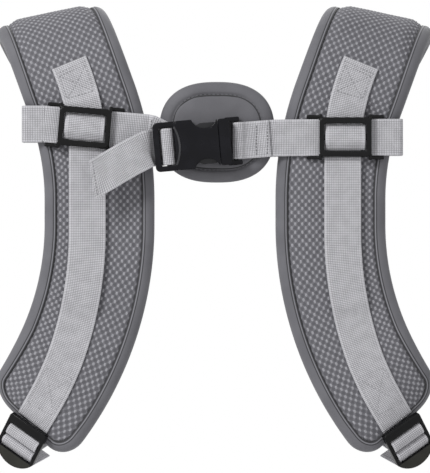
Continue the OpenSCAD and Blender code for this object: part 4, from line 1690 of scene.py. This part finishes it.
@dataclass
class LowerAdjuster(SubAssembly):
    """A ladder-lock adjuster at a strap's foot, with the webbing that holds it and feeds it."""

    side: Side
    lock_t: float = 4 * MM
    lock_bar: float = 6.4 * MM
    pin_r: float = 1.7 * MM
    waist_len: float = 38 * MM
    tab_drop: float = 22.2 * MM
    edge: float = 0.45 * MM

    def __post_init__(self) -> None:
        """Finds the adjuster's own frame: x along its bars, z up to the pad, y inward."""
        form = self.form
        lock_h = form.sewn_h + form.web_t + form.fit + self.lock_t / 2
        curl = Matrix.Rotation(form.curl_at(form.strap_foot), 4,
                               Vector((-form.curl_dir.z, 0.0, form.curl_dir.x)))
        lean = Matrix.Rotation(math.radians(-form.foot_turn), 4, "Y")
        self.frame = (Matrix.Translation(form.bend(form.strap_foot, lock_h)) @ curl @ lean
                      @ Matrix.Translation((0.0, 0.0, -self.lock_bar / 2)))
        self.word = self.side.word
        self.body = f"{self.word}_lower_adjuster"
        self.loop_z = -self.lock_bar / 2 - 6.4 * MM
        self.waist_z = self.loop_z - 7.1 * MM

    def place(self, x: float, y: float, z: float) -> Vector:
        """The place on this side of a point in the adjuster's frame.

        Args:
            x: along its bars.
            y: inward.
            z: up to the pad.

        Returns:
            The place.
        """
        v = self.frame @ Vector((x, y, z))
        v.x *= self.side.value
        return v

    def webbing(self, name: str, line: Sequence[Pair], node: str) -> None:
        """A webbing band through the adjuster.

        Args:
            name: the piece's name.
            line: what its left face follows, as (z, -y) in the adjuster's frame.
            node: the node that it stands for.
        """
        form = self.form
        middle = offset_line(line, form.web_t / 2)
        points = [self.place(*v) for v in flowing([Vector((0.0, -h, z)) for z, h in middle],
                                                  0.7 * MM)]
        across = self.place(1.0, 0.0, 0.0) - self.place(0.0, 0.0, 0.0)
        made = self.shop.ribbon(name, points, [across] * len(points), form.web_w, form.web_t,
                                WEBBING)
        self.shop.settle(made, self.body, "webbing", node)

    def lock(self) -> None:
        """The adjuster, with its thumb tab's face in a dull olive black."""
        node = f"{self.word}_adjuster"
        made = self.shop.moulded(f"{self.word}_ladder_lock", node, BLACK, self.edge)
        made.data.materials.append(TAB_OLIVE.material())
        origin = self.place(0.0, 0.0, 0.0)
        cut = self.place(0.0, 0.0, -self.tab_drop - 0.3 * MM)
        down = (cut - origin).normalized()
        outward = (self.place(0.0, -1.0, 0.0) - origin).normalized()
        with opened(made.data) as work:
            bmesh.ops.bisect_plane(work, geom=[*work.verts, *work.edges, *work.faces], dist=1e-6,
                                   plane_co=cut, plane_no=down)
            for face in work.faces:
                below = (face.calc_center_median() - cut).dot(down) > 0
                if below and face.normal.dot(outward) > 0.8:
                    face.material_index = 1
        self.shop.settle(made, self.body, "plastic", node)

    def build(self) -> None:
        """Builds the adjuster, its loop and the waist webbing."""
        self.lock()
        form = self.form
        turn = self.pin_r + form.seam
        under = -self.lock_t / 2 - form.fit - form.web_t
        bar, top = self.lock_bar / 2, self.loop_z
        loop = [(bar - 1.2 * MM, under), (-bar - 0.1 * MM, under),
                (-bar - 1.3 * MM, under / 2 + 0.5 * MM), (-bar - 2.2 * MM, 0.4 * turn),
                (top + 2.2 * MM, turn), *arc(top, 0.0, turn, 90, 270, 8), (top + 4 * MM, -turn)]
        self.webbing(f"{self.word}_lock_loop", loop, f"{self.word}_adjuster_loop")
        z, tab, t = self.waist_z, -self.tab_drop, form.web_t
        waist = [(z + turn + 2 * MM, -self.waist_len), (z + turn, -7 * MM),
                 *arc(z, 0.0, turn, 0, 135, 7), (tab, -t - 1 * MM), (tab - 3 * MM, -4.5 * MM),
                 (tab - 4.5 * MM, -11 * MM), (tab - 6 * MM, -0.9 * self.waist_len)]
        self.webbing(f"{self.word}_waist_strap", waist, f"{self.word}_waist_webbing")


def arc(x: float, y: float, r: float, start: float, stop: float, count: int) -> list[Pair]:
    """Points on an arc about (x, y), from start to stop degrees."""
    turns = [math.radians(lerp(start, stop, i / count)) for i in range(count + 1)]
    return [(x + r * math.cos(a), y + r * math.sin(a)) for a in turns]


def offset_line(line: Sequence[Pair], gap: float) -> list[Pair]:
    """Moves a line to the right of its way.

    Args:
        line: the line.
        gap: how far it moves.

    Returns:
        The moved line.
    """
    out = []
    for i, p in enumerate(line):
        a, b = line[max(0, i - 1)], line[min(len(line) - 1, i + 1)]
        size = distance(a, b)
        out.append((p[0] + (b[1] - a[1]) / size * gap, p[1] - (b[0] - a[0]) / size * gap))
    return out


@dataclass
class ChestStrap(SubAssembly):
    """The chest strap: two sliders, two webbings looped round the pads, and their stitches."""

    slider_play: float = 1.9 * MM
    window_h: float = 18.5 * MM
    fold_r: float = 2 * MM
    bar_r: float = 1.6 * MM
    fold_back: float = 23 * MM
    oval_back: float = 3 * MM
    spread: float = 2.4 * MM
    stitch: Triple = (1.7, 1.0, 0.42)
    stitch_pitch: float = 2.3 * MM
    body: str = "chest_strap"

    def upright(self, name: str, line: Sequence[Pair], side: Side, node: str,
                start: float = 0.0) -> None:
        """A webbing band on edge.

        Args:
            name: the piece's name.
            line: what its left face follows, as points of (x, h).
            side: which pad it goes round.
            node: the node that it stands for.
            start: where its weave starts, in metres.
        """
        form = self.form
        middle = offset_line(line, form.web_t / 2)
        path = flowing([Vector((x, -form.mid_r - h, 0.0)) for x, h in middle], 1.2 * MM)
        for v in path:
            v.z = form.hang(side, v.x)
            v.x *= side.value

        made = self.shop.ribbon(name, path, [UP] * len(path), form.web_w, form.web_t, WEBBING,
                                start, unevenness(0.06 * MM, 110, 120, 9.0 * side.value))
        self.shop.settle(made, self.body, "webbing", node)

    def around_pad(self, up: float) -> list[Pair]:
        """The fold round a pad's outer edge.

        Args:
            up: how high it lies over the chest strap's level.

        Returns:
            Points from the front run to the rear run.
        """
        form, r = self.form, self.fold_r
        top = form.chest_z + up + form.web_w / 2
        low = form.chest_z + up - form.chest_travel - form.web_w / 2
        x = max(form.pad_outer_x(top), form.pad_outer_x(low)) + form.loop_room - r
        return (arc(x, form.chest_h - r, r + form.web_t, 90, 0, 4)
                + arc(x, r - form.back_h, r + form.web_t, 0, -90, 4))

    def webbings(self) -> None:
        """Both chest webbings."""
        form = self.form
        top, turn = form.sewn_top_h, self.bar_r + form.seam
        bar_h, bar_x = top + turn, form.bar_x
        rear, behind = -self.oval_back - form.seam - form.web_t, -form.back_h - form.web_t
        right = [(bar_x + self.fold_back, top + form.seam),
                 (bar_x + 0.35 * self.fold_back, top + form.seam),
                 (bar_x + 3 * MM, bar_h + 0.8 * turn),
                 *arc(bar_x, bar_h, turn, 75, 270, 10),
                 (form.pad_gap / 2, top), (form.strap_x, top), *self.around_pad(-form.right_drop),
                 (form.strap_x, behind), (form.pad_gap / 2 + 1 * MM, behind),
                 (form.pad_gap / 2 - 3.5 * MM, rear), (bar_x + 11 * MM, rear)]
        self.upright("right_chest_band", right, Side.RIGHT, "right_chest_webbing")
        joined = form.chest_h - form.seam - form.web_t
        fold_x, r, knee = form.pad_gap / 2 - form.loop_room, self.fold_r, form.knee
        left = [(form.left_end, top), (knee, top), (form.pad_out, top),
                *self.around_pad(form.left_rise), (form.pad_out, behind), (knee, behind),
                *arc(fold_x + r, r - form.back_h, r + form.web_t, -90, -180, 4),
                *arc(fold_x - form.web_t - 0.6 * MM, joined - 0.6 * MM, 0.6 * MM, 0, 90, 2),
                (fold_x - 8 * MM, joined)]
        self.upright("left_chest_band", left, Side.LEFT, "left_chest_webbing", 0.011)

    def stitches(self) -> None:
        """Rows of stitches across the webbings' sewn ends."""
        form = self.form
        half, top = form.web_w / 2 - 1.6 * MM, form.sewn_top_h
        end, folded = form.bar_x + self.fold_back, top + form.web_t + form.seam
        rows = [(end - 2 * MM, folded, Side.RIGHT), (end - 9.5 * MM, folded, Side.RIGHT),
                (form.pad_gap / 2 + 2 * MM, top, Side.LEFT)]
        spots = []
        for x, h, side in rows:
            middle = Vector((x * side.value, -form.mid_r - h - 0.02 * MM, form.hang(side, x)))
            for p, _ in paced([Flat(0.0, -half), Flat(0.0, half)], self.stitch_pitch):
                spots.append(Spot(middle + UP * p.z, UP, -AHEAD))
        self.shop.beads("chest_band_stitches", spots, self.stitch, SPECK_THREAD, self.body,
                        "webbing")

    def slider(self, side: Side) -> None:
        """One slider, and the strap where it rises over the slider's centre bar.

        Args:
            side: which slider.
        """
        form = self.form
        node = f"{side.word}_slider"
        made = self.shop.moulded(f"{node}_frame", node, BLACK, 0.75 * MM)
        self.shop.settle(made, self.body, "plastic", node)
        base, bar = form.slider_h, 2 * MM
        half, over = self.window_h / 2 - 0.5 * MM, base + bar + form.seam
        line = [(half, base), (half - 2.4 * MM, base + 0.9 * MM), (bar + 0.7 * MM, over),
                (-bar - 0.7 * MM, over), (2.4 * MM - half, base + 0.9 * MM), (-half, base)]
        slider_x = form.strap_x + self.slider_play - 0.1 * MM
        lean = Matrix.Rotation(-form.left_tilt if side is Side.LEFT else 0.0, 4, "Y")
        frame = (Matrix.Diagonal((side.value, 1.0, 1.0, 1.0))
                 @ Matrix.Translation((slider_x, 0.0, form.hang(side, slider_x))) @ lean)
        path = flowing([frame @ Vector((0.0, -form.mid_r - h, z))
                        for z, h in offset_line(line, -form.web_t / 2)], 0.6 * MM)
        across = frame.to_3x3() @ Vector((-1.0, 0.0, 0.0))
        rise = self.shop.ribbon(f"{node}_strap", path, [across] * len(path),
                                form.web_w + self.spread, form.web_t, WEBBING, 0.3 * MM)
        self.shop.settle(rise, self.body, "webbing", f"{node}_webbing")

    def build(self) -> None:
        """Builds the webbings, sliders and stitches."""
        self.webbings()
        for side in Side:
            self.slider(side)
        self.stitches()


@dataclass
class Buckle(SubAssembly):
    """The side-release buckle, tilted about the plug's bar, and the tail that hangs from it."""

    tilt: float = 5.0
    socket_right: float = 2.7 * MM
    socket_len: float = 44.2 * MM
    ridge_x: float = -24 * MM
    ridge_size: Pair = (3 * MM, 13 * MM)
    tail_route: tuple[Triple, ...] = (
        (13.7, 0.7, 0), (13.3, 3.6, 0), (12.2, 5.9, 0), (9.3, 6.5, 0), (6.4, 5.9, 0), (5.4, 3.6, 0),
        (5.2, 1.9, 0), (4.3, 0.85, 0), (2, 0.8, 0), (-0.6, 1.2, 0), (-2.2, 3, 0), (-4.1, 5.6, -0.3),
        (-6.7, 8.1, -1.3), (-10.4, 9.9, -2.9), (-16.5, 11.3, -5.4), (-25.5, 12.4, -9.6),
        (-34.5, 14, -14), (-43.5, 15.8, -18.2))
    tail_free: int = 9
    slant: float = 10 * MM
    slant_from: float = 14 * MM
    stitch: Triple = (1.8, 0.6, 0.42)
    stitch_pitch: float = 2.2 * MM

    def __post_init__(self) -> None:
        """Finds the buckle's tilted frame."""
        form = self.form
        lean = Matrix.Rotation(math.radians(-self.tilt), 4, "Y")
        self.frame = (Matrix.Translation((form.bar_x, 0.0, form.chest_z - form.bar_drop)) @ lean
                      @ Matrix.Translation((-form.bar_x, 0.0, 0.0)))
        self.left = self.socket_right - self.socket_len

    def place(self, x: float, h: float, z: float) -> Vector:
        """The place of a point in the buckle's frame, h above the pad's middle surface."""
        return self.frame @ Vector((x, -self.form.mid_r - h, z))

    def mouldings(self) -> None:
        """Socket, plug and prongs with moulded edges."""
        for name, node, body, finish, width in (
                ("buckle_socket_shell", "buckle_socket", "socket", BLUE_BLACK, 0.8),
                ("buckle_plug_body", "buckle_plug", "chest_strap", BLUE_BLACK, 0.9),
                ("upper_release_prong", "upper_prong", "upper_prong", PRONG, 0.4),
                ("lower_release_prong", "lower_prong", "lower_prong", PRONG, 0.4)):
            made = self.shop.moulded(name, node, finish, width * MM)
            self.shop.settle(made, body, "plastic", node)
            if body == "socket":
                self.ridge(made)

    def ridge(self, shell: Object) -> None:
        """The raised, bowed ridge where the socket's body meets its frame, in a lighter acetal that
        paints its highlight.

        Args:
            shell: the finished socket.
        """
        tree, (bow, reach) = ray_tree(shell), self.ridge_size
        points: list[Vector] = []
        for t in steps(-1.0, 1.0, 0.04):
            x, z = self.ridge_x - bow * t * t, reach * t
            hit = tree.ray_cast(self.place(x, 40 * MM, z), AHEAD)[0]
            if hit:
                points.append(hit - AHEAD * (0.1 * MM))
        sides = [(b - a).cross(AHEAD).normalized()
                 for a, b in zip(points, points[1:] + [points[-1] * 2 - points[-2]])]
        made = self.shop.ribbon("buckle_socket_ridge", points, sides, 1.5 * MM, 1.1 * MM, RIDGE_HIGHLIGHT)
        self.shop.settle(made, "socket", "plastic")

    def tail(self) -> None:
        """The left webbing's end, threaded over the inner bar, with its folded hem."""
        form = self.form
        points, sides = [], []
        local = [Vector((self.left + x * MM, -form.mid_r - form.buckle_h - h * MM, z * MM))
                 for x, h, z in self.tail_route]
        line = flowing(local, 0.9 * MM)
        turn = self.frame.to_3x3()
        edge = local[self.tail_free].x
        for i, p in enumerate(line):
            t = line[min(len(line) - 1, i + 1)] - line[max(0, i - 1)]
            free = smooth((edge - p.x) / (6 * MM))
            side = UP
            if free > 0:
                hang = AHEAD.cross(Vector((t.x, 0.0, t.z))).normalized()
                side = UP.lerp(hang, free).normalized()
            points.append(self.frame @ p)
            sides.append(turn @ side)
        made = self.shop.ribbon("buckle_tail", points, sides, form.web_w, form.web_t, WEBBING,
                                swell=unevenness(0.12 * MM, 80, 90, 2.0))
        end, way, across = points[-1], (points[-1] - points[-2]).normalized(), sides[-1]
        for vertex in made.data.vertices:
            behind = (end - vertex.co).dot(way)
            if behind < self.slant_from:
                v = (vertex.co - end).dot(across) / form.web_w
                vertex.co -= way * (v * self.slant * smooth(1 - behind / self.slant_from))
        self.shop.settle(made, "socket", "webbing", "adjuster_tail")
        self.hem(end, way, across)

    def hem(self, end: Vector, way: Vector, across: Vector) -> None:
        """The stitches that hold the tail's folded end, along its slanted edge.

        Args:
            end: the middle of the tail's end.
            way: the way that it runs there.
            across: the way across it.
        """
        form = self.form
        out = way.cross(across).normalized()
        out = out if out.y < 0 else -out
        lie = (across * form.web_w - way * self.slant).normalized()
        reach, spots = 0.44 * form.web_w, []
        for q, _ in paced([Flat(-reach, 0.0), Flat(reach, 0.0)], self.stitch_pitch):
            back = 2.2 * MM + q.x / form.web_w * self.slant
            place = end + across * q.x - way * back + out * (form.web_t / 2 + 0.05 * MM)
            spots.append(Spot(place, lie, out))
        self.shop.beads("buckle_tail_hem", spots, self.stitch, SPECK_THREAD, "socket", "webbing")

    def build(self) -> None:
        """Builds the buckle and its tail."""
        self.mouldings()
        self.tail()


@dataclass
class OvalPad(SubAssembly):
    """The oval pad behind the buckle: two covers rolled over foam, sewn in from the edge."""

    width: float = 78.6 * MM
    height: float = 68.6 * MM
    shift: float = 1.3 * MM
    back: float = 3 * MM
    exponent: float = 0.8
    roll: float = 8.5 * MM
    swell_cap: float = 0.35 * MM
    stitch: Triple = (1.9, 0.6, 0.42)
    stitch_pitch: float = 2.9 * MM
    around: int = 120
    shares: tuple[float, ...] = (1.0, 0.995, 0.985, 0.965, 0.94, 0.91, 0.875, 0.84, 0.81, 0.79,
                                 0.775, 0.76, 0.74, 0.71, 0.67, 0.6, 0.52, 0.42, 0.3, 0.16)
    body: str = "chest_strap"

    def __post_init__(self) -> None:
        """Works out the pad's middle level and half thickness."""
        form = self.form
        self.front = form.chest_h - form.fit
        self.mid = (self.front - self.back) / 2
        self.rise = self.front - self.mid

    def rim(self, a: float, k: float, h: float) -> Vector:
        """A place on the pad.

        Args:
            a: the angle round the pad.
            k: the share of the way out to the outline.
            h: the level.

        Returns:
            The place.
        """
        form = self.form
        c, s = math.cos(a), math.sin(a)
        x = self.width / 2 * math.copysign(abs(c) ** self.exponent, c)
        z = self.height / 2 * math.copysign(abs(s) ** self.exponent, s)
        return Vector((self.shift + k * x, -form.mid_r - h, form.chest_z + k * z))

    def reach(self, a: float) -> float:
        """Distance from the pad's middle to its outline at angle a."""
        return (self.rim(a, 1.0, 0.0) - self.rim(a, 0.0, 0.0)).length

    def level(self, a: float, k: float) -> float:
        """Height of a face over the middle level: a rolled edge, a sewn groove and a soft crown.

        Args:
            a: the angle round the pad.
            k: the share of the way out to the outline.

        Returns:
            The height.
        """
        out = self.reach(a) * (1 - k)
        edge = min(1.0, out / self.roll)
        rolled = 0.74 * self.rise * math.sqrt(max(0.0, 1 - (1 - edge) ** 2.2))
        groove = 0.9 * MM * math.exp(-((out - self.roll) / (1.0 * MM)) ** 2)
        crown = 0.26 * self.rise * smooth((out - self.roll) / (9 * MM))
        return rolled - groove + crown * (0.8 + 0.2 * smooth(1 - k))

    def ring(self, count: int, inset: float, sign: float, sunk: float) -> list[Vector]:
        """A closed line round one face.

        Args:
            count: how many points it has before it closes.
            inset: how far it lies inside the outline.
            sign: 1 for the front, -1 for the rear.
            sunk: how far it lies below the surface.

        Returns:
            Its points, the first once more at the end.
        """
        points = []
        for a in (2 * math.pi * i / count for i in range(count + 1)):
            k = 1 - inset / self.reach(a)
            points.append(self.rim(a, k, self.mid + sign * (self.level(a, k) - sunk)))
        return points

    def cushion(self) -> None:
        """Both covers over their foam, puffed as cloth."""
        n, m = self.around, len(self.shares)
        verts: list[Vector] = []
        held: list[int] = []
        for sign in (1.0, -1.0):
            for k in self.shares[0 if sign > 0 else 1:]:
                for a in (2 * math.pi * i / n for i in range(n)):
                    spot = self.rim(a, k, 20 * MM * sign)
                    lump = 0.22 * MM * noise.noise(spot * 60) + 0.12 * MM * noise.noise(spot * 170)
                    h = self.level(a, k) + lump * smooth((1 - k) * 8)
                    if k > 0.70:
                        held.append(len(verts))
                    h = max(0.0, min(h, self.rise - 0.1 * MM))
                    verts.append(self.rim(a, k, self.mid + sign * h))
        front = [r * n for r in range(m)]
        rear = [0] + [(m + r) * n for r in range(m - 1)]
        faces: Faces = []
        for rows, sign in ((front, 1.0), (rear, -1.0)):
            tip = len(verts)
            verts.append(self.rim(0.0, 0.0, self.mid + sign * 0.985 * self.rise))
            for p, q in zip(rows, rows[1:]):
                faces += [(p + i, p + (i + 1) % n, q + (i + 1) % n, q + i) for i in range(n)]
            faces += [(rows[-1] + i, rows[-1] + (i + 1) % n, tip) for i in range(n)]
        made = self.shop.mesh("oval_back_cushion", verts, faces, (OVAL_CLOTH,))
        swell_cloth(made, held, self.swell_cap)
        middle = -self.form.mid_r
        for vertex in made.data.vertices:
            vertex.co.y = min(max(vertex.co.y, middle - self.front), middle + self.back)
        self.shop.settle(made, self.body, "binding", "back_pad_front", "back_pad_foam",
                         "back_pad_rear")

    def crease(self, word: str, sign: float) -> None:
        """A dark strip just inside the stitches on one face: painted shadow in the cloth's fold.

        Args:
            word: the face's name.
            sign: 1 for the front, -1 for the rear.
        """
        # A thin dark ribbon in the fold, as painted shadow.
        points = self.ring(240, self.roll + 1.0 * MM, sign, 0.12 * MM)
        sides = [(points[(i + 1) % 240] - points[i - 1]).cross(AHEAD * sign).normalized()
                 for i in range(240)]
        made = self.shop.ribbon(f"oval_pad_{word}_crease", points, [*sides, sides[0]], 1.1 * MM,
                                0.6 * MM, DARK_THREAD_AND_SHADOW)
        self.shop.settle(made, self.body, "binding")

    def seam(self, word: str, sign: float) -> None:
        """Stitches in the groove round one face.

        Args:
            word: the face's name.
            sign: 1 for the front, -1 for the rear.
        """
        ring = self.ring(360, self.roll, sign, 0.05 * MM)
        spots: list[Spot] = []
        for p, way in paced([Flat(v.x, v.z) for v in ring], self.stitch_pitch):
            near = min(ring, key=lambda v: (v.x - p.x) ** 2 + (v.z - p.z) ** 2)
            spots.append(Spot(Vector((p.x, near.y, p.z)), Vector((way.x, 0.0, way.z)),
                              AHEAD * -sign))
        # Dark thread: partly the thread's own grey, partly painted shade of the stitch holes.
        self.shop.beads(f"oval_pad_{word}_seam", spots, self.stitch, DARK_THREAD_AND_SHADOW, self.body,
                        "binding")

    def build(self) -> None:
        """Builds the cushion with its painted fold shadows and its seams."""
        self.cushion()
        for word, sign in (("front", 1.0), ("rear", -1.0)):
            self.crease(word, sign)
            self.seam(word, sign)


# ---- Studio ----


@dataclass
class Studio:
    """Plain pale floor, soft even light, white surround and a distant level camera."""

    centre: Vector = field(default_factory=lambda: Vector((0.0, -0.056, -0.103)))
    view_width: float = 0.2924
    image: tuple[int, int] = (430, 473)
    distance: float = 3.2
    floor_z: float = -0.42
    floor_half: float = 1.1
    lit: float = 0.46
    lamps: tuple[tuple[str, Triple, float, float], ...] = (
        ("key", (-1.1, -1.4, 1.1), 0.5, 28.0), ("fill", (1.3, -1.3, 0.3), 1.0, 1.5),
        ("rim", (0.3, 1.4, 0.9), 1.0, 8.0))

    def camera(self) -> None:
        """A long-lens camera square to the wearer's back."""
        data = bpy.data.cameras.new("back_view")
        data.sensor_width = 36.0
        tall = self.view_width * self.image[1] / self.image[0]
        data.lens = data.sensor_width * self.distance / tall
        data.clip_start, data.clip_end = 0.1, 50.0
        made = placed("back_view", data)
        made.location = self.centre - AHEAD * self.distance
        made.rotation_euler = (math.radians(90), 0.0, 0.0)
        bpy.context.scene.camera = made

    def lamp(self, name: str, place: Triple, size: float, power: float) -> None:
        """A square soft lamp aimed at the harness.

        Args:
            name: its name.
            place: where it stands.
            size: its side.
            power: its power in watts.
        """
        data = bpy.data.lights.new(name, "AREA")
        data.size, data.energy = size, power
        made = placed(name, data)
        made.location = place
        made.rotation_euler = (self.centre - Vector(place)).to_track_quat("-Z", "Y").to_euler()

    def world(self) -> None:
        """An even pale surround that the camera sees as white."""
        world = bpy.data.worlds.new("surround")
        sh = Shader(world, "ShaderNodeBackground", "ShaderNodeOutputWorld")
        camera, glossy, clear = (sh.node("ShaderNodeLightPath", output=f"Is {ray} Ray")
                                 for ray in ("Camera", "Glossy", "Transmission"))
        seen = camera.larger(glossy).larger(clear)
        strength = sh.node("ShaderNodeMapRange", None,
                           {"Value": seen, "To Min": self.lit, "To Max": 1.0})
        sh.set(Color=(1.0, 1.0, 1.0), Strength=strength)
        bpy.context.scene.world = world

    def floor(self) -> None:
        """A plain pale floor under the harness."""
        h, z = self.floor_half, self.floor_z
        data = bpy.data.meshes.new("studio_floor")
        data.from_pydata([(-h, -h, z), (h, -h, z), (h, h, z), (-h, h, z)], [], [(0, 1, 2, 3)])
        material = bpy.data.materials.new("floor_pale")
        Shader(material).set(Base_Color=(0.86, 0.86, 0.86), Roughness=0.9)
        data.materials.append(material)
        placed("studio_floor", data)

    def build(self) -> None:
        """Sets up the whole studio."""
        self.camera()
        self.world()
        self.floor()
        for lamp in self.lamps:
            self.lamp(*lamp)
        bpy.context.scene.view_settings.view_transform = "Standard"


def main() -> None:
    """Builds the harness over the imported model."""
    logging.basicConfig(level=logging.INFO, format="%(name)s: %(message)s")
    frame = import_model()
    Studio().build()
    shop = Workshop(HarnessForm(), frame)
    for side in Side:
        ShoulderPad(shop, side).build()
        LowerAdjuster(shop, side).build()
    ChestStrap(shop).build()
    Buckle(shop).build()
    OvalPad(shop).build()


if __name__ == "__main__":
    main()
